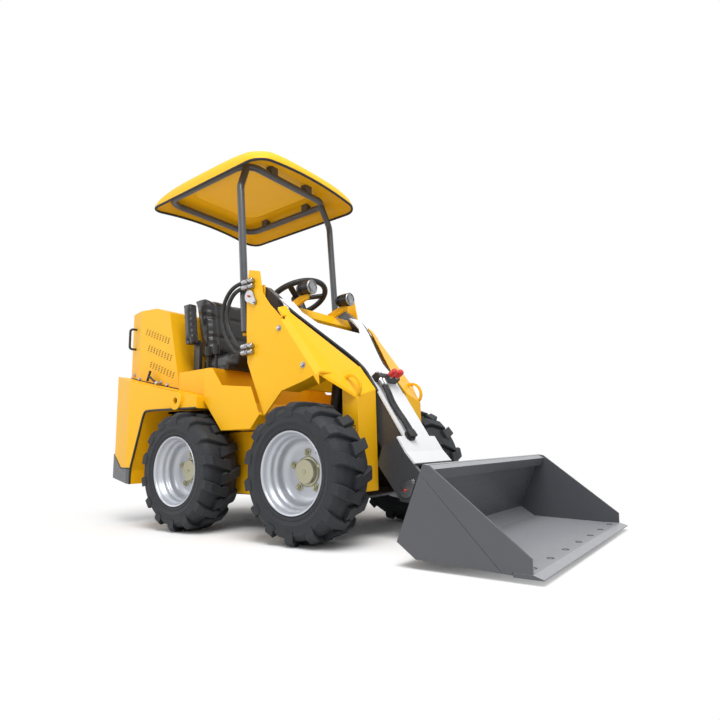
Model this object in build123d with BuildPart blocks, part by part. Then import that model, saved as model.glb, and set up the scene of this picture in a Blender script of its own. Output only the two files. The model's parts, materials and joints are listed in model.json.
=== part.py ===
"""Compact skid steer loader: sit-on chassis, Y-shaped boom, bucket, roll frame with canopy.

Millimetres. +X is forward, +Y is left, +Z is up. Outlines are drawn from the middle of the
wheelbase at ground level, and each finished piece is moved so that the origin lies on the
ground under the middle of the whole machine.
"""
import os
from math import cos, hypot, radians, sin, tan

from build123d import *

# Wheels
WHEELBASE = 796
TRACK = 800
TYRE_R = 292
TYRE_W = 206
LUG_H = 20
LUG_COUNT = 14
LUG_SWEEP = 62
TYRE_SIDES = 2 * LUG_COUNT
LUG_ROOT_R = 246
BEAD_R = 153
RIM_R = 170
RIM_W = 190
RIM_WALL = 8
RIM_WELL_R = 132
DISC_INSET = 15
DISC_T = 8
HUB_R = 62
HUB_FLANGE_R = 96
SHAFT_R = 25
SHAFT_GAP = 0.3
SHAFT_DEPTH = 40
SHAFT_END_GAP = 3
HUB_FLANGE_T = 12
HUB_DEPTH = 44
STUD_CIRCLE_R = 80
STUD_COUNT = 5
STUD_R = 8
NUT_R = 15
NUT_H = 14
MOTOR_R = 74
STUD_GAP = 1
WHEEL_GAP = 8

# Belly frame and front posts
FRAME_HALF = 262
FRAME_Z0 = 170
FRAME_Z1 = 480
FRAME_REAR = -1000
FRAME_FRONT = 560
PLATE = 10
SLOT_HALF = 128
POST_REAR = 492
POST_FRONT = 578
POST_Z0 = 200
EYE_T = 14
EYE_BAR = 13
EYE_RISE = 0.9
EYE_STEPS = 8

# Towers
TOWER_Y = 380
TOWER_PLATE = 8
FACET_TOP = (248, 993)
FACET_LOW = (462, 710)
FACET_RISE = 19
ARCH_TIP = (124, 540)
ARCH_KNEE = (237, 646)
INNER_PLATE_Y = 335
STRIP_DEPTH = 34
STRIP_W = 22
SLOT_ROOM = 8
SLOT_MOUTH_X = 245
SLOT_MOUTH = 326

# Boom
PIVOT_X = 26
PIVOT_Z = 1124
PIVOT_BOSS_R = 58
PIN_R = 18
ARM_OUT = 318
ARM_IN = 278
BEAM_HALF = 105
BOOM_NARROW_X = 460
BOOM_KNEE = (510, 730)
BOOM_END = (740, 360)
BEAM_WALL = 12
COVER_T = 8
HEAD_CHEEK = 20
HEAD_IN = 140

# Lift and tilt cylinders
LIFT_FOOT = (200, 300)
LIFT_EYE = (285, 845)
LIFT_BAR = (345, 800)
LIFT_BAR_R = 25
LIFT_BAR_HALF = 175
LIFT_FORK_IN = 38
LIFT_FORK_OUT = 52
LIFT_FORK_R = 28
LIFT_EYE_HALF = 32
LIFT_EAR_Y = 40
LIFT_EAR_T = 14
LIFT_PIN_R = 15
LIFT_BORE_R = 28
LIFT_BARREL_R = 34
LIFT_ROD_R = 18
TILT_FOOT = (505, 590)
TILT_LEVER = 78
TILT_LEVER_ANGLE = 80
TILT_BARREL_END = 285
TILT_BARREL_R = 27
TILT_BORE_R = 21
TILT_ROD_R = 13
TILT_PIN_R = 12
ROD_GAP = 0.5
PIN_GAP = 0.4
PIN_HEAD_R = 30
PIN_HEAD_T = 10
FLAG_TIP_R = 12
FLAG_REACH = 36

# Bucket
TILT_X = 742
TILT_Z = 207
BUCKET_HALF = 557
BUCKET_WALL = 8
BUCKET_TOP = (1055, 330)
BUCKET_HEEL = (945, 80)
BUCKET_KINK = (1015, 31)
BUCKET_FLOOR_Z = 20
BUCKET_LIP_X = 1334
BUCKET_TIP_X = 1424
EDGE_T = 14
EDGE_BEVEL = 30
BAR_H = 42
BAR_D = 34
FOLD_TOP = (1051, 289)
FOLD_LOW = (1297, 26)
FOLD_W = 4
FOLD_DEPTH = 2
HITCH_T = 14
HITCH_HALF = 180
HITCH_HUB_R = 32
HITCH_EAR_IN = 80
HITCH_EAR_OUT = 98
LEVER_IN = 26
LEVER_OUT = 38

# Rear body and hood share one slope
BODY_SLOPE = 12
BODY_HALF = 440
BODY_FRONT = -300
BODY_FOLD = -930
BODY_REAR = -1190
BODY_TAIL_HALF = 365
BODY_WALL = 6
DECK_Z = 660
ARCH_TOP_Z = 600
TIE_RING = (-465, 647)
TIE_RING_R = 47
TIE_RING_T = 12
TIE_BORE_R = 17
HOOD_FRONT_X = -592
HOOD_HALF = 340
HOOD_TAIL_HALF = 285
HOOD_FOLD_X = -1000
HOOD_TOP_Z = 1250
HOOD_LEAN = 14
HOOD_WALL = 6
HOOD_GAP = 3
LOUVRE_BANDS = ((-822, 1055), (-796, 953), (-768, 851))
LOUVRE_SLOPE = 21
LOUVRE_PITCH = 30
LOUVRE_ROW = 13
LOUVRE_COUNT = 9
LOUVRE_ROWS = 3
LOUVRE_L = 18
LOUVRE_H = 6
LOUVRE_TURN = 40
HINGE_X = -1180
HINGE_R = 9
HINGE_PIN_R = 5
HINGE_IN = 120
HINGE_OUT = 200
HINGE_EAR = 16
BAY_FRONT = -630
BAY_REAR = -1150
BAY_HALF = 290
BAY_TOP = 630
TAIL_X = -1215
TAIL_KNEE_Z = 300

# Roll frame and canopy
ROPS_R = 19
SLEEVE_R = 22
ROPS_Y = 357
ROPS_FOOT = (-32, 960)
ROPS_BEND_R = 120
LOOP_HALF = 325
LOOP_FRONT = -75
LOOP_REAR = -785
LOOP_CORNER = 90
SLEEVE_LENGTH = 205
CANOPY_FRONT = 112
CANOPY_REAR = -850
CANOPY_HALF = 412
CANOPY_TOP_Z = 1945
CANOPY_RIM_Z = CANOPY_TOP_Z - 123
LOOP_Z = CANOPY_TOP_Z - 60
ROPS_BEND = (-82, LOOP_Z - 140)
CANOPY_WALL = 8
RIM_RISE = 42
RIM_MARGIN = 20
TRIM_H = 12
TRIM_W = 14
CANOPY_LEVELS = ((0, 0, 90), (0.3, 7, 91), (0.55, 20, 93), (0.78, 44, 96), (0.92, 76, 98), (1, 112, 100))
EMBOSS_L = 520
EMBOSS_W = 420
EMBOSS_BAND = 30
CLAMP_W = 46

# Floor pan, seat and levers
PAN_HALF = 398
PAN_T = 5
PAN_FRONT = 110
PAN_Z = 483
SEAT_BOX_REAR = -570
SEAT_BOX_Z = 812
SEAT_HALF = 240
SEAT_BASE_H = 20
ARMREST_PIVOT = (-545, 985)
ARMREST_Y = 300
ARMREST_HALF = 26
BRACKET_IN = 246
BRACKET_OUT = 268
ARMREST_PIN_R = 10
SEAT_FRONT = -270
SEAT_BOX_HALF = 360
LEVER_XS = (-330, -400)
LEVER_Y = -300
LEVER_R = 8
LEVER_H = 80
GRIP_R = 18
GRIP_H = 50
ENGINE_FRONT = -700
ENGINE_REAR = -980
ENGINE_HALF = 190
ENGINE_TOP = 620

# Dash, lamps and steering
DASH_REAR = 30
DASH_TOP = 1100
DASH_HALF = 262
LAMP_Y = 154
LAMP_Z = DASH_TOP + 84
LAMP_R = 36
LAMP_BACK = 132
LAMP_FACE = 224
FIN = 6
WHEEL_CENTRE = (-20, DASH_TOP + 100)
STEER_LEAN = 25
STEER_R = 160
STEER_GRIP_R = 15
COLUMN_R = 26
SPINDLE_R = 10
COLUMN_L = 140
STEER_BOSS_R = 34
STEER_BOSS_L = 30
STEER_SINK = 20
SPOKE_W = 30
SPOKE_T = 12
KNOB_R = 18
KNOB_L = 40

# Hoses, couplers and handles
HOSE_R = 10
HOSE_Y = -395
FITTING_R = 13
FITTING_X = 12
FITTING_L = 48
BOOM_HOSE_R = 9
BOOM_HOSE_YS = (-78, -54)
HOSE_BLOCK = (30, 62)
HOSE_GROMMET = (350, 380)
CAP_R = 16
HANDLE_R = 7
HANDLE_X = -1095
HANDLE_Z = 1015
HANDLE_LENGTH = 125
HANDLE_STAND = 38
COUPLER_H = 38
CAP_L = 45
CAP_YS = (0, 50)
HANDLE_BEND = 16

# Heights that prisms used as cutters reach
CUT_LOW = 100
CUT_HIGH = 1400

# Origin: under the middle of the whole box
ORIGIN_X = (BUCKET_TIP_X + TAIL_X) / 2

axle_x = WHEELBASE / 2
wheel_y = TRACK / 2


def side_prism(points, y_from, y_to, mode=Mode.ADD):
    """Extrude a closed X-Z outline from one Y to another."""
    with BuildSketch(Plane.XZ.offset(-y_from)) as outline:
        with BuildLine():
            Polyline(*points, close=True)
        make_face()
    extrude(outline.sketch, amount=y_from - y_to, mode=mode)


def plan_prism(points, z_from, z_to, mode=Mode.ADD):
    """Extrude a closed X-Y outline from one Z to another."""
    with BuildSketch(Plane.XY.offset(z_from)) as outline:
        with BuildLine():
            Polyline(*points, close=True)
        make_face()
    extrude(outline.sketch, amount=z_to - z_from, mode=mode)


def cross_bar(x, z, radius, y_from, y_to, mode=Mode.ADD):
    """Add a round bar along Y."""
    with BuildSketch(Plane.XZ.offset(-y_from)) as outline:
        with Locations((x, z)):
            Circle(radius)
    extrude(outline.sketch, amount=y_from - y_to, mode=mode)


def block(x_from, x_to, y_from, y_to, z_from, z_to, mode=Mode.ADD):
    """Add a box between two corners."""
    plan_prism([(x_from, y_from), (x_to, y_from), (x_to, y_to), (x_from, y_to)], z_from, z_to, mode)


def save(piece, label):
    """Label a finished piece, move it to the machine's frame and write it."""
    placed = piece.moved(Location((-ORIGIN_X, 0, 0)))
    placed.label = label
    export_step(placed, f"parts/{label}.step")


os.makedirs("parts", exist_ok=True)

# Wheels: each is drawn at the origin about the Y axis, with its outer face towards -Y
disc_y = DISC_INSET
wheel_places = {
    "front_right": (axle_x, -wheel_y, 0),
    "front_left": (axle_x, wheel_y, 180),
    "rear_right": (-axle_x, -wheel_y, 0),
    "rear_left": (-axle_x, wheel_y, 180),
}

half_tyre = TYRE_W / 2
half_rim = RIM_W / 2
tread_r = TYRE_R - LUG_H
lug_top = (TYRE_R**2 - LUG_SWEEP**2) ** 0.5
lug_outline = [(-20, half_tyre), (20, half_tyre), (-20, 12), (-28, -24), (-LUG_SWEEP, -24)]
shoulder_cut = [(tread_r - 4, half_tyre + 1), (TYRE_R + 1, half_tyre - 26), (TYRE_R + 1, half_tyre + 1)]
with BuildPart() as lug:
    with BuildSketch(Plane(origin=(LUG_ROOT_R, 0, 0), x_dir=(0, 0, 1), z_dir=(1, 0, 0))):
        with BuildLine():
            Polyline(*lug_outline, close=True)
        make_face()
    extrude(amount=lug_top - LUG_ROOT_R)
    with BuildSketch(Plane.XY.offset(-half_tyre)):
        with BuildLine():
            Polyline(*[(r, -v) for r, v in shoulder_cut], close=True)
        make_face()
    extrude(amount=TYRE_W, mode=Mode.SUBTRACT)
far_lug = lug.part.mirror(Plane.XZ)
lug_pitch = 360 / LUG_COUNT

bead_y = half_rim - RIM_WALL
tyre_profile = [
    (RIM_R + 2, -bead_y), (LUG_ROOT_R - 30, -half_tyre), (tread_r, 36 - half_tyre),
    (tread_r, half_tyre - 36), (LUG_ROOT_R - 30, half_tyre), (RIM_R + 2, bead_y),
]
with BuildPart() as tyre:
    rings = []
    for radius, y in tyre_profile:
        with BuildSketch(Plane.XZ.offset(-y)) as ring:
            RegularPolygon(radius, TYRE_SIDES, rotation=90)
        rings.append(ring.sketch)
    loft(rings, ruled=True)
    with BuildSketch(Plane.XZ.offset(-bead_y)) as bore:
        RegularPolygon(BEAD_R, LUG_COUNT, major_radius=False, rotation=90)
    extrude(bore.sketch, amount=2 * bead_y, mode=Mode.SUBTRACT)
    for number in range(LUG_COUNT):
        add(lug.part.rotate(Axis.Y, 90 + number * lug_pitch))
        add(far_lug.rotate(Axis.Y, 90 + (number + 0.5) * lug_pitch))

with BuildPart() as rim:
    with BuildSketch(Plane.XY):
        with BuildLine():
            Polyline(
                (RIM_R, -half_rim),
                (RIM_R, -half_rim + RIM_WALL),
                (BEAD_R, -half_rim + RIM_WALL),
                (BEAD_R, -half_rim + 40),
                (RIM_WELL_R + RIM_WALL, -half_rim + 60),
                (RIM_WELL_R + RIM_WALL, half_rim - 50),
                (BEAD_R, half_rim - 35),
                (BEAD_R, half_rim - RIM_WALL),
                (RIM_R, half_rim - RIM_WALL),
                (RIM_R, half_rim),
                (BEAD_R - RIM_WALL, half_rim),
                (BEAD_R - RIM_WALL, half_rim - 35),
                (RIM_WELL_R, half_rim - 50),
                (RIM_WELL_R, disc_y + DISC_T),
                (HUB_R + STUD_GAP, disc_y + DISC_T),
                (HUB_R + STUD_GAP, disc_y),
                (RIM_WELL_R - 12, disc_y),
                (RIM_WELL_R - 12, disc_y - 22),
                (RIM_WELL_R, disc_y - 30),
                (RIM_WELL_R, -half_rim + 60),
                (BEAD_R - RIM_WALL, -half_rim + 40),
                (BEAD_R - RIM_WALL, -half_rim),
                close=True,
            )
        make_face()
    revolve(axis=Axis.Y)
    with BuildSketch(Plane.XZ.offset(-disc_y)) as stud_holes:
        with PolarLocations(STUD_CIRCLE_R, STUD_COUNT, start_angle=90):
            Circle(STUD_R + STUD_GAP)
    extrude(stud_holes.sketch, amount=-DISC_T, mode=Mode.SUBTRACT)

hub_back = disc_y + DISC_T + HUB_FLANGE_T
with BuildPart() as hub:
    with BuildSketch(Plane.XY):
        with BuildLine():
            Polyline(
                (SHAFT_R + SHAFT_GAP, hub_back),
                (HUB_FLANGE_R, hub_back),
                (HUB_FLANGE_R, disc_y + DISC_T),
                (HUB_R, disc_y + DISC_T),
                (HUB_R, disc_y - HUB_DEPTH),
                (HUB_R - 10, disc_y - HUB_DEPTH - 10),
                (0, disc_y - HUB_DEPTH - 14),
                (0, hub_back - SHAFT_DEPTH),
                (SHAFT_R + SHAFT_GAP, hub_back - SHAFT_DEPTH),
                close=True,
            )
        make_face()
    revolve(axis=Axis.Y)
    with BuildSketch(Plane.XZ.offset(-disc_y - DISC_T)) as studs:
        with PolarLocations(STUD_CIRCLE_R, STUD_COUNT, start_angle=90):
            Circle(STUD_R)
    extrude(studs.sketch, amount=DISC_T + NUT_H)
    with BuildSketch(Plane.XZ.offset(-disc_y)) as nuts:
        with PolarLocations(STUD_CIRCLE_R, STUD_COUNT, start_angle=90):
            RegularPolygon(NUT_R, 6)
    extrude(nuts.sketch, amount=NUT_H)

for place, (x, y, turn) in wheel_places.items():
    spot = Location((x, y, TYRE_R), (0, 0, turn))
    tread = tyre.part if turn == 0 else tyre.part.mirror(Plane.XZ)
    save(tread.moved(Location((x, y, TYRE_R))), f"tyre_{place}")
    save(rim.part.moved(spot), f"rim_{place}")
    save(hub.part.moved(spot), f"hub_{place}")

# Wheel motors reach from the belly frame almost to the turning hub flange
motor_end = wheel_y - hub_back - WHEEL_GAP
shaft_end = wheel_y - hub_back + SHAFT_DEPTH - SHAFT_END_GAP
with BuildPart() as wheel_motors:
    for x in (axle_x, -axle_x):
        cross_bar(x, TYRE_R, MOTOR_R, FRAME_HALF, motor_end)
        cross_bar(x, TYRE_R, SHAFT_R, motor_end, shaft_end)
    mirror(about=Plane.XZ)
save(wheel_motors.part, "wheel_motors")

# Belly frame: a tub of plates between the wheels
with BuildPart() as belly_frame:
    block(FRAME_REAR, FRAME_FRONT, -FRAME_HALF, FRAME_HALF, FRAME_Z0, FRAME_Z1)
    block(
        FRAME_REAR + PLATE, FRAME_FRONT, PLATE - FRAME_HALF, FRAME_HALF - PLATE,
        FRAME_Z0 + PLATE, FRAME_Z1, mode=Mode.SUBTRACT,
    )
    for side in (-1, 1):
        side_prism(
            [(LIFT_FOOT[0] - 50, FRAME_Z0 + PLATE), (LIFT_FOOT[0] + 50, FRAME_Z0 + PLATE),
             (LIFT_FOOT[0] + 28, LIFT_FOOT[1] + 10), (LIFT_FOOT[0], LIFT_FOOT[1] + 30),
             (LIFT_FOOT[0] - 28, LIFT_FOOT[1] + 10)],
            side * LIFT_EAR_Y, side * (LIFT_EAR_Y + LIFT_EAR_T),
        )
    cross_bar(*LIFT_FOOT, LIFT_PIN_R, -LIFT_EAR_Y - LIFT_EAR_T, LIFT_EAR_Y + LIFT_EAR_T)
save(belly_frame.part, "belly_frame")


def facet_z(x, y):
    """Height of the sloped top facet of a tower at a plan point."""
    along = (FACET_LOW[1] - FACET_TOP[1]) / (FACET_LOW[0] - FACET_TOP[0])
    inward = tan(radians(FACET_RISE))
    return FACET_LOW[1] + along * (x - FACET_LOW[0]) + inward * (TOWER_Y - abs(y))


def facet_plane():
    """Plane of the right tower's sloped facet, facing up and outwards."""
    origin = (FACET_LOW[0], -TOWER_Y, FACET_LOW[1])
    along = (FACET_TOP[0] - FACET_LOW[0], 0, FACET_TOP[1] - FACET_LOW[1])
    inward = (0, 1, tan(radians(FACET_RISE)))
    normal = Vector(*inward).cross(Vector(*along))
    return Plane(origin=origin, x_dir=along, z_dir=normal if normal.Z > 0 else -normal)


# Lifting eyes: loops of flat bar on the outer edge of each front post
eye_low = (POST_FRONT - 4, facet_z(POST_FRONT - 4, FRAME_HALF))
eye_high = (POST_REAR + 12, facet_z(POST_REAR + 12, FRAME_HALF))
eye_run = Vector(eye_high[0] - eye_low[0], eye_high[1] - eye_low[1]).normalized()
eye_half = hypot(eye_high[0] - eye_low[0], eye_high[1] - eye_low[1]) / 2
eye_mid = ((eye_low[0] + eye_high[0]) / 2, (eye_low[1] + eye_high[1]) / 2)


def eye_outline(reach):
    """Half-round outline of a lifting eye, closed a little below the facet."""
    points = []
    for step in range(EYE_STEPS + 1):
        turn = radians(180 * step / EYE_STEPS)
        along = reach * cos(turn)
        out = reach * EYE_RISE * sin(turn)
        x = eye_mid[0] + along * eye_run.X + out * eye_run.Y
        z = eye_mid[1] + along * eye_run.Y - out * eye_run.X
        points.append((x, z))
    sink = EYE_BAR * 2
    points.append((points[-1][0] - sink * eye_run.Y, points[-1][1] + sink * eye_run.X))
    points.append((points[0][0] - sink * eye_run.Y, points[0][1] + sink * eye_run.X))
    return points


with BuildPart() as lift_eyes:
    side_prism(eye_outline(eye_half), -FRAME_HALF, EYE_T - FRAME_HALF)
    side_prism(eye_outline(eye_half - EYE_BAR), -FRAME_HALF, EYE_T - FRAME_HALF, mode=Mode.SUBTRACT)
    split(bisect_by=facet_plane(), keep=Keep.TOP)
    mirror(about=Plane.XZ)

# Front posts: boxes either side of the boom slot, cut off along the facet
with BuildPart() as front_posts:
    block(POST_REAR, POST_FRONT, -FRAME_HALF, -SLOT_HALF, POST_Z0, CUT_HIGH)
    block(
        POST_REAR - PLATE, FRAME_FRONT, -FRAME_HALF - PLATE, PLATE - FRAME_HALF,
        POST_Z0 - PLATE, FRAME_Z1, mode=Mode.SUBTRACT,
    )
    split(bisect_by=facet_plane(), keep=Keep.BOTTOM)
    mirror(about=Plane.XZ)
    add(lift_eyes.part)
save(front_posts.part, "front_posts")

# Towers: folded side panel with a closed nose behind the sloped facet
panel = [
    (0, 961), (8, 800), ARCH_TIP, ARCH_KNEE, (369, 678), (456, 706), FACET_LOW, FACET_TOP,
    (229, 994), (156, 1063), (108, 1126), (86, 1241), (14, 1262), (0, 1173),
]
facet_plan = [
    (215, -TOWER_Y), (462, -TOWER_Y), (568, -FRAME_HALF), (POST_REAR, -FRAME_HALF),
    (POST_REAR, -SLOT_HALF - SLOT_ROOM), (SLOT_MOUTH_X, -SLOT_MOUTH), (215, -SLOT_MOUTH),
]
strip_plan = [
    (FACET_TOP[0], -TOWER_Y), (FACET_LOW[0], -TOWER_Y), (FACET_LOW[0] - 22, -INNER_PLATE_Y),
    (FACET_TOP[0], -INNER_PLATE_Y),
]
arch_sheet = [
    ARCH_KNEE, (369, 678), (456, 706), (480, 704), (480, 704 + TOWER_PLATE), (456, 706 + TOWER_PLATE),
    (369, 678 + TOWER_PLATE), (237, 646 + TOWER_PLATE),
]
facet_edge = Vector(FACET_TOP[0] - FACET_LOW[0], 0, FACET_TOP[1] - FACET_LOW[1])
edge_length = facet_edge.length
edge_run = facet_edge.normalized()
edge_down = Vector(-edge_run.Z, 0, edge_run.X)
edge_in = Vector(0, 1, tan(radians(FACET_RISE)))
edge_in = (edge_in - edge_run * edge_in.dot(edge_run)).normalized()
with BuildPart() as facet_strip:
    plan_prism(strip_plan, CUT_LOW, CUT_HIGH)
    split(bisect_by=facet_plane(), keep=Keep.BOTTOM)
    split(bisect_by=facet_plane().offset(-STRIP_DEPTH), keep=Keep.TOP)
with BuildPart() as tower:
    plan_prism(facet_plan, CUT_LOW, CUT_HIGH)
    split(bisect_by=facet_plane(), keep=Keep.BOTTOM)
    split(bisect_by=facet_plane().offset(-TOWER_PLATE), keep=Keep.TOP)
    add(facet_strip.part)
    side_prism(arch_sheet, -TOWER_Y, -FRAME_HALF)
    side_prism(panel, -TOWER_Y, TOWER_PLATE - TOWER_Y)
    edge_foot = Plane(origin=(FACET_LOW[0], -TOWER_Y, FACET_LOW[1]), x_dir=edge_down, z_dir=edge_run)
    with BuildSketch(edge_foot) as bevel:
        with BuildLine():
            Polyline(
                (STRIP_W, 0), (STRIP_W, STRIP_W), (-STRIP_W, STRIP_W), (-STRIP_W, -STRIP_W * edge_in.Y),
                (STRIP_W * edge_in.dot(edge_down), -STRIP_W * edge_in.Y), close=True,
            )
        make_face()
    extrude(bevel.sketch, amount=edge_length, mode=Mode.SUBTRACT)
    block(0, TOWER_PLATE, -TOWER_Y, -INNER_PLATE_Y, 961, 1170)
    block(-80, 75, -INNER_PLATE_Y, TOWER_PLATE - INNER_PLATE_Y, 950, 1185)
    cross_bar(PIVOT_X, PIVOT_Z, PIN_R, -TOWER_Y, -INNER_PLATE_Y + TOWER_PLATE, mode=Mode.SUBTRACT)
save(tower.part, "tower_right")
save(tower.part.mirror(Plane.XZ), "tower_left")


def pin_flag(x, z, reach_x, reach_z, y_from, y_to):
    """Keeper plate of a pin: a round head drawn out to a small bolted end."""
    tip_x, tip_z = x + reach_x, z + reach_z
    cross_bar(x, z, PIN_HEAD_R, y_from, y_to)
    cross_bar(tip_x, tip_z, FLAG_TIP_R, y_from, y_to)
    run = Vector(reach_x, reach_z).normalized()
    side_prism(
        [(x - run.Y * PIN_HEAD_R, z + run.X * PIN_HEAD_R),
         (tip_x - run.Y * FLAG_TIP_R, tip_z + run.X * FLAG_TIP_R),
         (tip_x + run.Y * FLAG_TIP_R, tip_z - run.X * FLAG_TIP_R),
         (x + run.Y * PIN_HEAD_R, z - run.X * PIN_HEAD_R)],
        y_from, y_to,
    )


# Boom pivot pins with a keeper plate
with BuildPart() as boom_pins:
    cross_bar(PIVOT_X, PIVOT_Z, PIN_R, -TOWER_Y, -ARM_IN)
    pin_flag(PIVOT_X, PIVOT_Z, FLAG_REACH, -FLAG_REACH, -TOWER_Y - PIN_HEAD_T, -TOWER_Y)
    mirror(about=Plane.XZ)
save(boom_pins.part, "boom_pins")

# Floor pan: a tray with tall sills between the wheels
pan_side = [
    (-160, PAN_Z), (50, PAN_Z), (PAN_FRONT, 545), (50, 680), (-160, 705), (-235, 798), (BODY_FRONT, 800),
    (BODY_FRONT, 640),
]
with BuildPart() as floor_pan:
    side_prism(pan_side, -PAN_HALF, PAN_HALF)
    side_prism(
        [(-155, PAN_Z + PAN_T), (48, PAN_Z + PAN_T), (PAN_FRONT - 6, 548), (PAN_FRONT - 6, 900),
         (BODY_FRONT + PAN_T, 900), (BODY_FRONT + PAN_T, 642)],
        PAN_T - PAN_HALF, PAN_HALF - PAN_T, mode=Mode.SUBTRACT,
    )
save(floor_pan.part, "floor_pan")


def deck_z(x):
    """Height of the sloped deck."""
    return DECK_Z + (BODY_FRONT - x) * tan(radians(BODY_SLOPE))


hinge_z = deck_z(HINGE_X) + HINGE_R - 1

# Rear body: shell with wheel arches under the sloped deck
body_side = [
    (BODY_FRONT, ARCH_TOP_Z), (-762, 613), (-888, 291), (-884, 215), (-896, 215), (-896, TAIL_KNEE_Z),
    (-1040, TAIL_KNEE_Z), (BODY_REAR, 372), (BODY_REAR, deck_z(BODY_REAR)), (BODY_FRONT, DECK_Z),
]
cavity_side = [
    (BODY_FRONT - BODY_WALL, ARCH_TOP_Z + BODY_WALL), (-766, 613 + BODY_WALL), (-896, 291), (-896, 200),
    (-1040, 200), (BODY_REAR + BODY_WALL, 300), (BODY_REAR + BODY_WALL, deck_z(BODY_REAR) - BODY_WALL),
    (BODY_FRONT - BODY_WALL, DECK_Z - BODY_WALL),
]


def body_plan(inset):
    """Plan outline of the rear body, tapering towards the tail."""
    wide = BODY_HALF - inset
    tail = BODY_TAIL_HALF - inset
    return [
        (BODY_FRONT, -wide), (BODY_FRONT, wide), (BODY_FOLD, wide), (BODY_REAR, tail), (BODY_REAR, -tail),
        (BODY_FOLD, -wide),
    ]


with BuildPart() as body_cavity:
    side_prism(cavity_side, -BODY_HALF, BODY_HALF)
    plan_prism(body_plan(BODY_WALL), CUT_LOW, CUT_HIGH, mode=Mode.INTERSECT)
with BuildPart() as rear_body:
    side_prism(body_side, -BODY_HALF, BODY_HALF)
    plan_prism(body_plan(0), CUT_LOW, CUT_HIGH, mode=Mode.INTERSECT)
    add(body_cavity.part, mode=Mode.SUBTRACT)
    block(FRAME_REAR, BODY_FRONT - 20, -FRAME_HALF, FRAME_HALF, CUT_LOW, BAY_TOP, mode=Mode.SUBTRACT)
    block(BAY_REAR, BAY_FRONT, -BAY_HALF, BAY_HALF, ARCH_TOP_Z, CUT_HIGH, mode=Mode.SUBTRACT)
    for side in (-1, 1):
        cross_bar(HINGE_X, hinge_z, HINGE_R, side * HINGE_IN, side * HINGE_OUT)
        cross_bar(HINGE_X, hinge_z, HINGE_PIN_R + PIN_GAP, side * HINGE_IN, side * HINGE_OUT,
        mode=Mode.SUBTRACT)
        ring_out = side * (BODY_HALF + TIE_RING_T)
        cross_bar(*TIE_RING, TIE_RING_R, side * BODY_HALF, ring_out)
        cross_bar(*TIE_RING, TIE_BORE_R, side * (BODY_HALF - BODY_WALL), ring_out, mode=Mode.SUBTRACT)
save(rear_body.part, "rear_body")

# Counterweight slab below the tail
with BuildPart() as counterweight:
    side_prism(
        [(-896, 215), (TAIL_X, 240), (TAIL_X, 383), (BODY_REAR, 372), (-1040, TAIL_KNEE_Z),
         (-896, TAIL_KNEE_Z)],
        -BODY_HALF, BODY_HALF,
    )
    plan_prism(
        [(-880, -BODY_HALF), (-880, BODY_HALF), (BODY_FOLD, BODY_HALF), (TAIL_X, BODY_TAIL_HALF - 6),
         (TAIL_X, 6 - BODY_TAIL_HALF), (BODY_FOLD, -BODY_HALF)],
        CUT_LOW, CUT_HIGH, mode=Mode.INTERSECT,
    )
    block(FRAME_REAR, -880, -FRAME_HALF, FRAME_HALF, CUT_LOW, CUT_HIGH, mode=Mode.SUBTRACT)
save(counterweight.part, "counterweight")

# Seat box and seat
with BuildPart() as seat_box:
    side_prism(
        [(BODY_FRONT, DECK_Z), (SEAT_BOX_REAR, deck_z(SEAT_BOX_REAR)), (SEAT_BOX_REAR, SEAT_BOX_Z),
         (BODY_FRONT, SEAT_BOX_Z)],
        -SEAT_BOX_HALF, SEAT_BOX_HALF,
    )
save(seat_box.part, "seat_box")
with BuildPart() as seat_frame:
    block(SEAT_BOX_REAR, SEAT_FRONT, -BRACKET_OUT, BRACKET_OUT, SEAT_BOX_Z, SEAT_BOX_Z + SEAT_BASE_H)
    for side in (-1, 1):
        side_prism(
            [(-570, SEAT_BOX_Z + SEAT_BASE_H), (-520, SEAT_BOX_Z + SEAT_BASE_H),
             (ARMREST_PIVOT[0] + 25, ARMREST_PIVOT[1]),
             (ARMREST_PIVOT[0], ARMREST_PIVOT[1] + 20), (ARMREST_PIVOT[0] - 25, ARMREST_PIVOT[1])],
            side * BRACKET_IN, side * BRACKET_OUT,
        )
        cross_bar(*ARMREST_PIVOT, ARMREST_PIN_R, side * BRACKET_OUT, side * (ARMREST_Y + ARMREST_HALF))
save(seat_frame.part, "seat_frame")
cushion_z = SEAT_BOX_Z + SEAT_BASE_H
with BuildPart() as seat_cushion:
    side_prism(
        [(-562, cushion_z), (-240, cushion_z), (-220, cushion_z + 85), (-562, cushion_z + 65)],
        -SEAT_HALF, SEAT_HALF,
    )
save(seat_cushion.part, "seat_cushion")
with BuildPart() as seat_back:
    side_prism(
        [(-562, cushion_z + 65), (-490, cushion_z + 65 + 72 * 20 / 342), (-540, 1270), (-640, 1270),
         (-606, 1090),
         (-574, 985)],
        -SEAT_HALF, SEAT_HALF,
    )
save(seat_back.part, "seat_back")

# Armrests folded up beside the backrest
with BuildPart() as armrest:
    side_prism(
        [(ARMREST_PIVOT[0] - 30, ARMREST_PIVOT[1] - 20), (ARMREST_PIVOT[0] + 34, ARMREST_PIVOT[1] - 20),
         (ARMREST_PIVOT[0] + 4, 1215), (ARMREST_PIVOT[0] - 60, 1215)],
        -ARMREST_Y - ARMREST_HALF, ARMREST_HALF - ARMREST_Y,
    )
    cross_bar(
        *ARMREST_PIVOT, ARMREST_PIN_R + PIN_GAP, -ARMREST_Y - ARMREST_HALF, ARMREST_HALF - ARMREST_Y,
        mode=Mode.SUBTRACT
    )
save(armrest.part, "armrest_right")
save(armrest.part.mirror(Plane.XZ), "armrest_left")

# Engine block inside the rear body and the hood
with BuildPart() as engine_block:
    block(ENGINE_REAR, ENGINE_FRONT, -ENGINE_HALF, ENGINE_HALF, FRAME_Z0 + PLATE, ENGINE_TOP)
save(engine_block.part, "engine_block")

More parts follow.
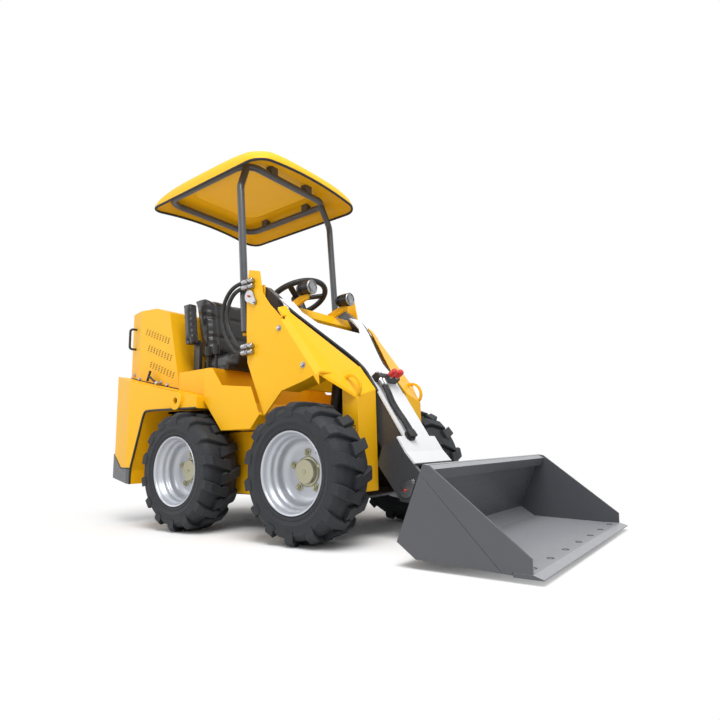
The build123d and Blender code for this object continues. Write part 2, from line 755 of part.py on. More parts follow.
# Hood: leaning box on the sloped deck with a tapered tail, open below
lean = tan(radians(HOOD_LEAN))


def hood_front_x(z, inset):
    """X of the hood's leaning front at a height."""
    return HOOD_FRONT_X - inset - (z - deck_z(HOOD_FRONT_X)) * lean


def hood_side(inset):
    """Side outline of the hood, each wall moved in by the inset."""
    floor = HOOD_GAP - inset * 20
    rear = BODY_REAR + 20 + inset
    top = HOOD_TOP_Z - inset
    return [
        (hood_front_x(deck_z(HOOD_FRONT_X) + floor, inset), deck_z(HOOD_FRONT_X) + floor),
        (hood_front_x(top - 70, inset), top - 70),
        (hood_front_x(top - 70, inset) - 130, top - 25),
        (rear, top),
        (rear, deck_z(rear) + floor),
    ]


def hood_plan(inset):
    """Plan outline of the hood."""
    wide = HOOD_HALF - inset
    tail = HOOD_TAIL_HALF - inset
    return [
        (-500, -wide), (-500, wide), (HOOD_FOLD_X, wide), (BODY_REAR, tail), (BODY_REAR, -tail),
        (HOOD_FOLD_X, -wide)
    ]


with BuildPart() as hood_cavity:
    side_prism(hood_side(HOOD_WALL), -HOOD_HALF, HOOD_HALF)
    plan_prism(hood_plan(HOOD_WALL), CUT_LOW, CUT_HIGH, mode=Mode.INTERSECT)
with BuildPart() as hood:
    side_prism(hood_side(0), -HOOD_HALF, HOOD_HALF)
    plan_prism(hood_plan(0), CUT_LOW, CUT_HIGH, mode=Mode.INTERSECT)
    add(hood_cavity.part, mode=Mode.SUBTRACT)
    with BuildSketch(Plane.XZ.offset(HOOD_HALF)) as louvres:
        for band_x, band_z in LOUVRE_BANDS:
            with Locations(Location((band_x, band_z, 0), (0, 0, -LOUVRE_SLOPE))):
                with GridLocations(LOUVRE_PITCH, LOUVRE_ROW, LOUVRE_COUNT, LOUVRE_ROWS):
                    Rectangle(LOUVRE_L, LOUVRE_H, rotation=LOUVRE_TURN)
    extrude(louvres.sketch, amount=-2 * HOOD_HALF, mode=Mode.SUBTRACT)
    for side in (-1, 1):
        cross_bar(HINGE_X, hinge_z, HINGE_PIN_R, side * (HINGE_IN - HINGE_EAR),
        side * (HINGE_OUT + HINGE_EAR))
        for ear in (HINGE_IN - HINGE_EAR, HINGE_OUT + 4):
            block(
                HINGE_X - HINGE_PIN_R, BODY_REAR + 25, side * ear, side * (ear + HINGE_EAR - 4),
                hinge_z - HINGE_PIN_R, hinge_z + 8,
            )
save(hood.part, "hood_shell")

# Roll frame: two leaning posts in sleeves, bent in to a loop
rops_path = [
    (ROPS_FOOT[0], -ROPS_Y, ROPS_FOOT[1]),
    (ROPS_BEND[0], -ROPS_Y, ROPS_BEND[1]),
    (LOOP_FRONT - LOOP_CORNER * 0.3, -LOOP_HALF + LOOP_CORNER * 0.3, LOOP_Z),
]
rops_lean = Vector(*rops_path[1]) - Vector(*rops_path[0])
loop_points = [
    (LOOP_FRONT, -LOOP_HALF, LOOP_Z), (LOOP_FRONT, LOOP_HALF, LOOP_Z), (LOOP_REAR, LOOP_HALF, LOOP_Z),
    (LOOP_REAR, -LOOP_HALF, LOOP_Z),
]
with BuildPart() as rops_posts:
    with BuildLine():
        FilletPolyline(*rops_path, radius=ROPS_BEND_R)
    with BuildSketch(Plane(origin=rops_path[0], z_dir=rops_lean)):
        Circle(ROPS_R)
    sweep()
    with BuildSketch(Plane(origin=rops_path[0], z_dir=rops_lean)):
        Circle(SLEEVE_R)
    extrude(amount=SLEEVE_LENGTH)
    mirror(about=Plane.XZ)
with BuildPart() as rops_frame:
    with BuildLine():
        FilletPolyline(*loop_points, radius=LOOP_CORNER, close=True)
    with BuildSketch(Plane(origin=(LOOP_FRONT, 0, LOOP_Z), z_dir=(0, 1, 0))):
        Circle(ROPS_R)
    sweep()
    add(rops_posts.part)
save(rops_frame.part, "rops_frame")

# Canopy: shallow dome with a rubber edge, held to the loop by clamps
canopy_mid = (CANOPY_FRONT + CANOPY_REAR) / 2
canopy_length = CANOPY_FRONT - CANOPY_REAR
arch_half = CANOPY_HALF + RIM_MARGIN


def canopy_form(shrink):
    """Loft the canopy's moulded dome, with all its faces moved in by a margin."""
    sections = []
    for share, inset, corner in CANOPY_LEVELS:
        level = CANOPY_RIM_Z + share * (CANOPY_TOP_Z - CANOPY_RIM_Z - shrink)
        with BuildSketch(Plane.XY.offset(level)) as section:
            with Locations((canopy_mid, 0)):
                RectangleRounded(canopy_length - 2 * (inset + shrink),
                2 * (CANOPY_HALF - inset - shrink), corner)
        sections.append(section.sketch)
    loft(sections, ruled=True)


with BuildPart() as canopy_inside:
    canopy_form(CANOPY_WALL)
with BuildPart() as canopy:
    canopy_form(0)
    add(canopy_inside.part, mode=Mode.SUBTRACT)
    with BuildSketch(Plane.YZ.offset(CANOPY_REAR - RIM_MARGIN)) as rim_arch:
        with BuildLine():
            ThreePointArc((-arch_half, CANOPY_RIM_Z), (0, CANOPY_RIM_Z + RIM_RISE),
            (arch_half, CANOPY_RIM_Z))
            Polyline(
                (arch_half, CANOPY_RIM_Z), (arch_half, CANOPY_RIM_Z - TRIM_H),
                (-arch_half, CANOPY_RIM_Z - TRIM_H),
                (-arch_half, CANOPY_RIM_Z),
            )
        make_face()
    extrude(rim_arch.sketch, amount=canopy_length + 2 * RIM_MARGIN, mode=Mode.SUBTRACT)
    with BuildSketch(Plane.XY.offset(CANOPY_TOP_Z - CANOPY_WALL)) as emboss:
        with Locations((canopy_mid, 0)):
            RectangleRounded(EMBOSS_L, EMBOSS_W, 60)
            RectangleRounded(EMBOSS_L - 2 * EMBOSS_BAND, EMBOSS_W - 2 * EMBOSS_BAND, 40, mode=Mode.SUBTRACT)
    extrude(emboss.sketch, amount=CANOPY_WALL / 2, mode=Mode.SUBTRACT)
save(canopy.part, "canopy")
trim_z = CANOPY_RIM_Z - TRIM_H
with BuildPart() as canopy_trim:
    with BuildSketch(Plane.YZ.offset(CANOPY_REAR - RIM_MARGIN)) as trim_band:
        with BuildLine():
            ThreePointArc((-arch_half, CANOPY_RIM_Z), (0, CANOPY_RIM_Z + RIM_RISE),
            (arch_half, CANOPY_RIM_Z))
            Line((arch_half, CANOPY_RIM_Z), (arch_half, trim_z))
            ThreePointArc((arch_half, trim_z), (0, trim_z + RIM_RISE), (-arch_half, trim_z))
            Line((-arch_half, trim_z), (-arch_half, CANOPY_RIM_Z))
        make_face()
    extrude(trim_band.sketch, amount=canopy_length + 2 * RIM_MARGIN)
    with BuildSketch(Plane.XY.offset(trim_z - RIM_MARGIN)) as trim_ring:
        with Locations((canopy_mid, 0)):
            RectangleRounded(canopy_length, 2 * CANOPY_HALF, CANOPY_LEVELS[0][2])
            RectangleRounded(
                canopy_length - 2 * TRIM_W, 2 * (CANOPY_HALF - TRIM_W),
                CANOPY_LEVELS[0][2] - TRIM_W, mode=Mode.SUBTRACT
            )
    extrude(trim_ring.sketch, amount=TRIM_H + RIM_RISE + 2 * RIM_MARGIN, mode=Mode.INTERSECT)
save(canopy_trim.part, "canopy_trim")
clamp_places = [(LOOP_FRONT - 170, -LOOP_HALF), (LOOP_REAR + 170, -LOOP_HALF), (LOOP_FRONT, -140)]
with BuildPart() as canopy_clamps:
    for x, y in clamp_places:
        half = CLAMP_W / 2
        block(x - half, x + half, y - half, y + half, LOOP_Z, CANOPY_TOP_Z)
    mirror(about=Plane.XZ)
    add(rops_frame.part, mode=Mode.SUBTRACT)
    add(canopy_inside.part, mode=Mode.INTERSECT)
save(canopy_clamps.part, "canopy_clamps")

# Dash wall between the towers, with the lamp brackets and the steering column
with BuildPart() as dash:
    block(DASH_REAR, 60, TOWER_PLATE - INNER_PLATE_Y, INNER_PLATE_Y - TOWER_PLATE, 690, DASH_TOP - 90)
    side_prism(
        [(DASH_REAR, DASH_TOP - 110), (100, DASH_TOP - 160), (150, DASH_TOP - 50), (120, DASH_TOP),
         (DASH_REAR, DASH_TOP)],
        -DASH_HALF, DASH_HALF,
    )
lamp_profile = [
    (LAMP_BACK, 0), (LAMP_BACK, 16), (LAMP_BACK + 10, 27), (LAMP_BACK + 24, 33), (LAMP_BACK + 30, 34),
    (LAMP_BACK + 30, 28), (LAMP_BACK + 30 + FIN, 28), (LAMP_BACK + 30 + FIN, 35),
    (LAMP_BACK + 30 + 2 * FIN, 35),
    (LAMP_BACK + 30 + 2 * FIN, 29), (LAMP_BACK + 30 + 3 * FIN, 29), (LAMP_BACK + 30 + 3 * FIN, LAMP_R),
    (LAMP_FACE, LAMP_R), (LAMP_FACE, 0),
]
with BuildPart() as work_lamps:
    with BuildSketch(Plane(origin=(0, -LAMP_Y, LAMP_Z), x_dir=(1, 0, 0), z_dir=(0, -1, 0))):
        with BuildLine():
            Polyline(*lamp_profile, close=True)
        make_face()
    revolve(axis=Axis((0, -LAMP_Y, LAMP_Z), (1, 0, 0)))
    mirror(about=Plane.XZ)
save(work_lamps.part, "work_lamps")
with BuildPart() as lamp_lenses:
    with BuildSketch(Plane.YZ.offset(LAMP_FACE)) as lens_round:
        with Locations((-LAMP_Y, LAMP_Z)):
            Circle(LAMP_R - 5)
    extrude(lens_round.sketch, amount=6)
    mirror(about=Plane.XZ)
save(lamp_lenses.part, "lamp_lenses")
with BuildPart() as lamp_brackets:
    side_prism(
        [(80, DASH_TOP), (118, DASH_TOP), (200, DASH_TOP + 30), (200, DASH_TOP + 50), (150, DASH_TOP + 50),
         (80, DASH_TOP + 25)],
        -LAMP_Y - 8, 8 - LAMP_Y,
    )
    mirror(about=Plane.XZ)
    add(dash.part)
    add(work_lamps.part, mode=Mode.SUBTRACT)
save(lamp_brackets.part, "dash")

steer_axis = (-sin(radians(STEER_LEAN)), 0, cos(radians(STEER_LEAN)))
steer_plane = Plane(origin=(WHEEL_CENTRE[0], 0, WHEEL_CENTRE[1]), x_dir=(0, 1, 0), z_dir=steer_axis)
with BuildPart() as steering_column:
    with BuildSketch(steer_plane.offset(-STEER_SINK - 2)):
        Circle(COLUMN_R)
    extrude(amount=-COLUMN_L)
    split(bisect_by=Plane.XY.offset(DASH_TOP), keep=Keep.TOP)
    with BuildSketch(steer_plane.offset(-STEER_SINK - 2)) as spindle:
        Circle(SPINDLE_R)
    extrude(spindle.sketch, amount=STEER_SINK + 2)
save(steering_column.part, "steering_column")
with BuildPart() as steering_wheel:
    with Locations(steer_plane.location):
        Torus(STEER_R, STEER_GRIP_R)
    with BuildSketch(steer_plane.offset(-STEER_SINK)):
        Circle(STEER_BOSS_R)
    extrude(amount=STEER_BOSS_L)
    with BuildSketch(steer_plane.offset(-SPOKE_T / 2)) as spokes:
        with PolarLocations(STEER_R / 2, 3, start_angle=90):
            Rectangle(STEER_R, SPOKE_W)
    extrude(spokes.sketch, amount=SPOKE_T)
    with BuildSketch(steer_plane.offset(STEER_GRIP_R - 4)) as knob:
        with Locations((-STEER_R * 0.7, STEER_R * 0.7)):
            Circle(KNOB_R)
    extrude(knob.sketch, amount=KNOB_L)
    with BuildSketch(steer_plane.offset(-STEER_SINK)) as spindle_hole:
        Circle(SPINDLE_R + SHAFT_GAP)
    extrude(spindle_hole.sketch, amount=STEER_SINK + 2, mode=Mode.SUBTRACT)
save(steering_wheel.part, "steering_wheel")

# Control levers beside the seat
with BuildPart() as control_levers:
    for x in LEVER_XS:
        with BuildSketch(Plane.XY.offset(SEAT_BOX_Z)) as stick:
            with Locations((x, LEVER_Y)):
                Circle(LEVER_R)
        extrude(stick.sketch, amount=LEVER_H + GRIP_H / 2)
        with BuildSketch(Plane.XY.offset(SEAT_BOX_Z + LEVER_H)) as grip_round:
            with Locations((x, LEVER_Y)):
                Circle(GRIP_R)
        extrude(grip_round.sketch, amount=GRIP_H)
save(control_levers.part, "control_levers")

# Boom: side outline crossed with a Y-shaped plan
tilt_eye = (
    TILT_X + TILT_LEVER * cos(radians(TILT_LEVER_ANGLE)),
    TILT_Z + TILT_LEVER * sin(radians(TILT_LEVER_ANGLE))
)
arm_side = [
    (PIVOT_X - 30, PIVOT_Z + 50), (PIVOT_X + 40, PIVOT_Z + 56), (135, 1123), BOOM_KNEE, (520, 700),
    (451, 693),
    (84, 1075), (60, 1060), (PIVOT_X - 40, PIVOT_Z - 20),
]
beam_side = [(300, 950), BOOM_KNEE, BOOM_END, (640, 297), (420, 640), (300, 774)]


def boom_plan(grow):
    """Y-shaped plan of the boom's outside, moved out by a margin."""
    wide = ARM_OUT + grow
    narrow = BEAM_HALF + grow
    return [
        (-60, wide), (205, wide), (BOOM_NARROW_X, narrow), (900, narrow), (900, -narrow),
        (BOOM_NARROW_X, -narrow),
        (205, -wide), (-60, -wide),
    ]


arm_notch = [(-60, -ARM_IN), (190, -ARM_IN), (420, -80), (420, 80), (190, ARM_IN), (-60, ARM_IN)]
with BuildPart() as boom_beam:
    side_prism(arm_side, -ARM_OUT, ARM_OUT)
    for side in (-1, 1):
        cross_bar(PIVOT_X, PIVOT_Z, PIVOT_BOSS_R, side * ARM_IN, side * ARM_OUT)
    plan_prism(boom_plan(0), CUT_LOW, CUT_HIGH, mode=Mode.INTERSECT)
    side_prism(beam_side, -BEAM_HALF, BEAM_HALF)
    plan_prism(arm_notch, CUT_LOW, CUT_HIGH, mode=Mode.SUBTRACT)
    side_prism(
        [(440, 791), (506.5, 722.5), (736.5, 352.5), (640, 200), (300, 640)],
        BEAM_WALL - BEAM_HALF, BEAM_HALF - BEAM_WALL, mode=Mode.SUBTRACT,
    )
    for side in (-1, 1):
        cross_bar(PIVOT_X, PIVOT_Z, PIN_R + PIN_GAP, side * ARM_IN, side * ARM_OUT, mode=Mode.SUBTRACT)
    cross_bar(*LIFT_BAR, LIFT_BAR_R, -LIFT_BAR_HALF, LIFT_BAR_HALF)
    for side in (-1, 1):
        side_prism(
            [(LIFT_BAR[0], LIFT_BAR[1] + LIFT_BAR_R), (LIFT_EYE[0], LIFT_EYE[1] + LIFT_FORK_R),
             (LIFT_EYE[0] - LIFT_FORK_R, LIFT_EYE[1]), (LIFT_EYE[0], LIFT_EYE[1] - LIFT_FORK_R),
             (LIFT_BAR[0], LIFT_BAR[1] - LIFT_BAR_R)],
            side * LIFT_FORK_IN, side * LIFT_FORK_OUT,
        )
    cross_bar(*TILT_FOOT, TILT_PIN_R, -BEAM_HALF, BEAM_HALF)

boom_run = Vector(BOOM_END[0] - BOOM_KNEE[0], BOOM_END[1] - BOOM_KNEE[1]).normalized()


def boom_point(along, above):
    """X and Z of a point above the front slope of the boom's cover."""
    lift = above + COVER_T
    return (
        BOOM_KNEE[0] + along * boom_run.X - lift * boom_run.Y,
        BOOM_KNEE[1] + along * boom_run.Y + lift * boom_run.X,
    )


# White cover plates on top of the boom and its head
head_out = HEAD_IN + HEAD_CHEEK
cover_notch = [(-60, -225), (225, -225), (275, -170), (275, 170), (225, 225), (-60, 225)]
with BuildPart() as boom_cover:
    side_prism(
        [(160, 1096.8), BOOM_KNEE, BOOM_END, boom_point(435, 0), boom_point(0, 0), (515.8, 735.5),
         (165.8, 1102.3)], -ARM_OUT - 4, ARM_OUT + 4
    )
    plan_prism(boom_plan(4), CUT_LOW, CUT_HIGH, mode=Mode.INTERSECT)
    plan_prism(cover_notch, CUT_LOW, CUT_HIGH, mode=Mode.SUBTRACT)
    side_prism(
        [(700, 424.4), (740, 360), (782, 312), (788, 317), (746, 365), (706, 429.4)], -head_out, head_out
    )
save(boom_cover.part, "boom_cover")

# Boom head: two cheeks and a top plate that carry the tilt pin
head_cheek = [
    (598, 312), (625, 385), (700, 420), (738, 359), (800, 289), (836, 258), (806, 175), (765, 155),
    (712, 160),
]
head_web = [(625, 385), (700, 420), (738, 359), (660, 330)]
with BuildPart() as boom_head:
    side_prism(head_cheek, -head_out, -HEAD_IN)
    side_prism(head_web, -HEAD_IN, -BEAM_HALF)
    mirror(about=Plane.XZ)
    side_prism([(744, 352), (782, 309), (775.5, 303.5), (737.5, 346.5)], -HEAD_IN, HEAD_IN)
    cross_bar(TILT_X, TILT_Z, PIN_R, -head_out, head_out, mode=Mode.SUBTRACT)
with BuildPart() as boom:
    add(boom_beam.part)
    add(boom_head.part)
save(boom.part, "boom")
with BuildPart() as tilt_pin:
    cross_bar(TILT_X, TILT_Z, PIN_R, -head_out, head_out)
    pin_flag(TILT_X, TILT_Z, FLAG_REACH, FLAG_REACH, -head_out - PIN_HEAD_T, -head_out)
    cross_bar(TILT_X, TILT_Z, PIN_HEAD_R, head_out, head_out + PIN_HEAD_T)
save(tilt_pin.part, "tilt_pin")


def rod_plane(start, end, distance):
    """Plane across the line from start to end, at a distance along it."""
    run = Vector(end[0] - start[0], 0, end[1] - start[1]).normalized()
    return Plane(origin=Vector(start[0], 0, start[1]) + run * distance, x_dir=(0, 1, 0), z_dir=run)


def bar_along(start, end, s_from, s_to, radius, mode=Mode.ADD):
    """Round bar along the line from start to end."""
    with BuildSketch(rod_plane(start, end, s_from)) as round_face:
        Circle(radius)
    extrude(round_face.sketch, amount=s_to - s_from, mode=mode)


lift_length = hypot(LIFT_EYE[0] - LIFT_FOOT[0], LIFT_EYE[1] - LIFT_FOOT[1])
with BuildPart() as lift_barrel:
    bar_along(LIFT_FOOT, LIFT_EYE, 0, lift_length - 50, LIFT_BARREL_R)
    bar_along(LIFT_FOOT, LIFT_EYE, 40, lift_length - 75, LIFT_BORE_R, mode=Mode.SUBTRACT)
    bar_along(LIFT_FOOT, LIFT_EYE, 40, lift_length, LIFT_ROD_R + ROD_GAP, mode=Mode.SUBTRACT)
    cross_bar(*LIFT_FOOT, 32, -LIFT_EYE_HALF, LIFT_EYE_HALF)
    cross_bar(*LIFT_FOOT, LIFT_PIN_R + PIN_GAP, -60, 60, mode=Mode.SUBTRACT)
save(lift_barrel.part, "lift_barrel")
with BuildPart() as lift_rod:
    bar_along(LIFT_FOOT, LIFT_EYE, 44, lift_length - 10, LIFT_ROD_R)
    bar_along(LIFT_FOOT, LIFT_EYE, 44, 66, LIFT_BORE_R - ROD_GAP)
    cross_bar(*LIFT_EYE, 25, -LIFT_EYE_HALF, LIFT_EYE_HALF)
save(lift_rod.part, "lift_rod")
tilt_length = hypot(tilt_eye[0] - TILT_FOOT[0], tilt_eye[1] - TILT_FOOT[1])
with BuildPart() as tilt_barrel:
    bar_along(TILT_FOOT, tilt_eye, 0, TILT_BARREL_END, TILT_BARREL_R)
    bar_along(TILT_FOOT, tilt_eye, 35, TILT_BARREL_END - 22, TILT_BORE_R, mode=Mode.SUBTRACT)
    bar_along(TILT_FOOT, tilt_eye, 35, TILT_BARREL_END, TILT_ROD_R + ROD_GAP, mode=Mode.SUBTRACT)
    cross_bar(*TILT_FOOT, 26, -24, 24)
    cross_bar(*TILT_FOOT, TILT_PIN_R + PIN_GAP, -40, 40, mode=Mode.SUBTRACT)
save(tilt_barrel.part, "tilt_barrel")
with BuildPart() as tilt_rod:
    bar_along(TILT_FOOT, tilt_eye, 75, tilt_length - 10, TILT_ROD_R)
    bar_along(TILT_FOOT, tilt_eye, 75, 95, TILT_BORE_R - ROD_GAP)
    cross_bar(*tilt_eye, 16, -20, 20)
save(tilt_rod.part, "tilt_rod")

# Hitch between the boom head and the bucket
back_run = Vector(BUCKET_TOP[0] - BUCKET_HEEL[0], BUCKET_TOP[1] - BUCKET_HEEL[1]).normalized()


def back_point(along, behind):
    """Point on or behind the bucket's back plate."""
    return (
        BUCKET_HEEL[0] + along * back_run.X - behind * back_run.Y,
        BUCKET_HEEL[1] + along * back_run.Y + behind * back_run.X,
    )


with BuildPart() as hitch:
    side_prism(
        [back_point(30, 0), back_point(235, 0), back_point(235, HITCH_T),
         back_point(30, HITCH_T)], -HITCH_HALF, HITCH_HALF
    )
    for side in (-1, 1):
        side_prism(
            [(TILT_X + 5, TILT_Z + 30), back_point(190, HITCH_T), back_point(50, HITCH_T),
             (TILT_X + 5, TILT_Z - 30)],
            side * HITCH_EAR_IN, side * HITCH_EAR_OUT,
        )
        side_prism(
            [(TILT_X - 24, TILT_Z), (TILT_X + 26, TILT_Z), (tilt_eye[0] + 18, tilt_eye[1]),
             (tilt_eye[0] + 8, tilt_eye[1] + 15), (tilt_eye[0] - 8, tilt_eye[1] + 15),
             (tilt_eye[0] - 18, tilt_eye[1])],
            side * LEVER_IN, side * LEVER_OUT,
        )
        cross_bar(TILT_X, TILT_Z, HITCH_HUB_R, side * LEVER_IN, side * HITCH_EAR_OUT)
    cross_bar(TILT_X, TILT_Z, PIN_R + PIN_GAP, -HITCH_EAR_OUT, HITCH_EAR_OUT, mode=Mode.SUBTRACT)
save(hitch.part, "hitch")

# Bucket: bent shell, side plates and cutting edge
bucket_shell_line = [
    BUCKET_TOP, BUCKET_HEEL, BUCKET_KINK, (BUCKET_LIP_X, BUCKET_FLOOR_Z),
    (BUCKET_LIP_X, BUCKET_FLOOR_Z + BUCKET_WALL), (BUCKET_KINK[0] + 3, BUCKET_KINK[1] + BUCKET_WALL),
    (BUCKET_HEEL[0] + BUCKET_WALL, BUCKET_HEEL[1] + 2), (BUCKET_TOP[0] + BUCKET_WALL, BUCKET_TOP[1] - 3),
]
bucket_inner_half = BUCKET_HALF - BUCKET_WALL
back_length = hypot(BUCKET_TOP[0] - BUCKET_HEEL[0], BUCKET_TOP[1] - BUCKET_HEEL[1])
edge_top = BUCKET_FLOOR_Z - 5 + EDGE_T
with BuildPart() as bucket_shell:
    side_prism(bucket_shell_line, -bucket_inner_half, bucket_inner_half)
    side_prism(
        [back_point(back_length, -2), back_point(back_length - 4, -BAR_D),
         back_point(back_length - BAR_H, -BAR_D),
         back_point(back_length - BAR_H, -2)],
        -bucket_inner_half, bucket_inner_half,
    )
save(bucket_shell.part, "bucket_shell")
with BuildPart() as bucket_sides:
    side_prism(
        [BUCKET_TOP, BUCKET_HEEL, BUCKET_KINK, (BUCKET_LIP_X, BUCKET_FLOOR_Z), (BUCKET_LIP_X, edge_top),
         (1392, edge_top), (1394, 70), (1080, 325)],
        -BUCKET_HALF, -bucket_inner_half,
    )
    side_prism(
        [FOLD_TOP, FOLD_LOW, (FOLD_LOW[0] + FOLD_W, FOLD_LOW[1]), (FOLD_TOP[0] + FOLD_W, FOLD_TOP[1])],
        -BUCKET_HALF, FOLD_DEPTH - BUCKET_HALF, mode=Mode.SUBTRACT,
    )
    mirror(about=Plane.XZ)
save(bucket_sides.part, "bucket_sides")
with BuildPart() as cutting_edge:
    side_prism(
        [(BUCKET_LIP_X, edge_top - EDGE_T), (BUCKET_TIP_X, edge_top - EDGE_T),
         (BUCKET_TIP_X, edge_top - EDGE_T + 4),
         (BUCKET_TIP_X - EDGE_BEVEL, edge_top), (BUCKET_LIP_X, edge_top)],
        -BUCKET_HALF, BUCKET_HALF,
    )
save(cutting_edge.part, "cutting_edge")


def cord_radii(points):
    """Radius of each corner of a cord's route: as large as its two runs allow."""
    radii = []
    for before, corner, after in zip(points, points[1:], points[2:]):
        run_in = Vector(*corner) - Vector(*before)
        run_out = Vector(*after) - Vector(*corner)
        turn = radians(run_in.get_angle(run_out))
        radii.append(0.45 * min(run_in.length, run_out.length) / tan(turn / 2))
    return radii


def hose(points, radius):
    """Sweep a round hose along a route of straight runs and tangent arcs."""
    with BuildLine() as route:
        FilletPolyline(*points, radius=cord_radii(points))
    start = Plane(origin=points[0], z_dir=Vector(*points[1]) - Vector(*points[0]))
    with BuildSketch(start) as section:
        Circle(radius)
    sweep(section.sketch, path=route.line)


# Two hoses that loop outside the right tower between screwed fittings
outer_loop = [
    (FITTING_X, 1198), (-57, 1198), (-120, 1166), (-160, 1104), (-166, 1030), (-144, 958), (-100, 896),
    (-46, 846),
    (FITTING_X, 846),
]
inner_loop = [
    (FITTING_X, 1170), (-44, 1170), (-96, 1142), (-126, 1088), (-128, 1026), (-106, 968), (-70, 918),
    (-36, 876),
    (FITTING_X, 876),
]
with BuildPart() as side_hoses:
    for loop in (outer_loop, inner_loop):
        hose([(x, HOSE_Y, z) for x, z in loop], HOSE_R)
save(side_hoses.part, "side_hoses")
with BuildPart() as hose_fittings:
    for loop in (outer_loop, inner_loop):
        for z in (loop[0][1], loop[-1][1]):
            with BuildSketch(Plane.YZ.offset(FITTING_X)) as fitting_round:
                with Locations((HOSE_Y, z)):
                    Circle(FITTING_R)
            extrude(fitting_round.sketch, amount=FITTING_L)
            block(FITTING_X + 10, FITTING_X + FITTING_L, HOSE_Y, -TOWER_Y, z - 9, z + 9)
save(hose_fittings.part, "hose_fittings")

# Hoses and quick couplers that ride on the boom
boom_route = [(62, 22), (118, 22), (178, 11), (236, 12), (294, 18), (350, 18)]
with BuildPart() as boom_hoses:
    for y in BOOM_HOSE_YS:
        route = [(boom_point(*spot)[0], y, boom_point(*spot)[1]) for spot in boom_route]
        hose(route, BOOM_HOSE_R)
save(boom_hoses.part, "boom_hoses")
with BuildPart() as couplers:
    for along_from, along_to in (HOSE_BLOCK, HOSE_GROMMET):
        side_prism(
            [boom_point(along_from, 0), boom_point(along_to, 0), boom_point(along_to, COUPLER_H),
             boom_point(along_from, COUPLER_H)],
            -95, -35,
        )
    side_prism(
        [boom_point(HOSE_BLOCK[0], 0), boom_point(HOSE_BLOCK[1], 0), boom_point(HOSE_BLOCK[1], COUPLER_H),
         boom_point(HOSE_BLOCK[0], COUPLER_H)],
        -35, 80,
    )
save(couplers.part, "couplers")
with BuildPart() as coupler_caps:
    cap_low = boom_point(sum(HOSE_BLOCK) / 2, COUPLER_H)
    for y in CAP_YS:
        cap_foot = Plane(origin=(cap_low[0], y, cap_low[1]), z_dir=(-boom_run.Y, 0, boom_run.X))
        with BuildSketch(cap_foot) as cap_round:
            Circle(CAP_R)
        extrude(cap_round.sketch, amount=CAP_L)
save(coupler_caps.part, "coupler_caps")

# Bail handles on the hood's tapered tail
tail_slope = (HOOD_HALF - HOOD_TAIL_HALF) / (HOOD_FOLD_X - BODY_REAR)
tail_out = Vector(-tail_slope, -1, 0).normalized()
handle_foot = Vector(HANDLE_X, -HOOD_HALF + (HOOD_FOLD_X - HANDLE_X) * tail_slope, HANDLE_Z)
handle_route = [
    handle_foot, handle_foot + tail_out * HANDLE_STAND,
    handle_foot + tail_out * HANDLE_STAND + Vector(0, 0, HANDLE_LENGTH),
    handle_foot + Vector(0, 0, HANDLE_LENGTH),
]
with BuildPart() as hood_handles:
    with BuildLine():
        FilletPolyline(*handle_route, radius=HANDLE_BEND)
    with BuildSketch(Plane(origin=handle_foot, z_dir=tail_out)):
        Circle(HANDLE_R)
    sweep()
    mirror(about=Plane.XZ)
save(hood_handles.part, "hood_handles")
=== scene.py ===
"""Looks of the compact skid steer loader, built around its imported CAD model."""

import json
import math

import bmesh
import bpy
from mathutils import Matrix, Vector


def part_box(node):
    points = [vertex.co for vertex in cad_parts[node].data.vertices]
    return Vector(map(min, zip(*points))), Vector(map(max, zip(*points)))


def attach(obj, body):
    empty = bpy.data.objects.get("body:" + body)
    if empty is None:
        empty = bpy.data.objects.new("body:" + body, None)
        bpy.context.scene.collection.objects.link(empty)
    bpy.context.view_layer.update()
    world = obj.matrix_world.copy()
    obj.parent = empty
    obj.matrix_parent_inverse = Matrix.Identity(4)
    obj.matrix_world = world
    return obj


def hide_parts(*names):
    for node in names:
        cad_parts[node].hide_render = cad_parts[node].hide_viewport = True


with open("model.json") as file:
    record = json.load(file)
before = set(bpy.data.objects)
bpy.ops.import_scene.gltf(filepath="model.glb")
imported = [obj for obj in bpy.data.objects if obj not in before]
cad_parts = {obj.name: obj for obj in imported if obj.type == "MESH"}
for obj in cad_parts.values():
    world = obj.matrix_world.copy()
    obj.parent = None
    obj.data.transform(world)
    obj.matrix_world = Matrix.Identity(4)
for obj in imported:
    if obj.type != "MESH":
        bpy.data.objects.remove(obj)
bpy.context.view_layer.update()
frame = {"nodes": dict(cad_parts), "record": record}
scene = bpy.context.scene

# The CAD outlines are drawn in millimetres from the middle of the wheelbase
ORIGIN_X = 104.5


def at(x, y, z):
    """A point of the CAD drawing, in metres in the model's frame."""
    return Vector(((x - ORIGIN_X) / 1000, y / 1000, z / 1000))


# Camera at the photograph's viewpoint
CAMERA_AT = at(1948.3, -2073, 395.9)
YAW, PITCH, ROLL = math.radians(36.782), math.radians(9.094), math.radians(-1.487)
FOCAL_PX = 531.52
IMAGE_PX = 720
SENSOR_MM = 36

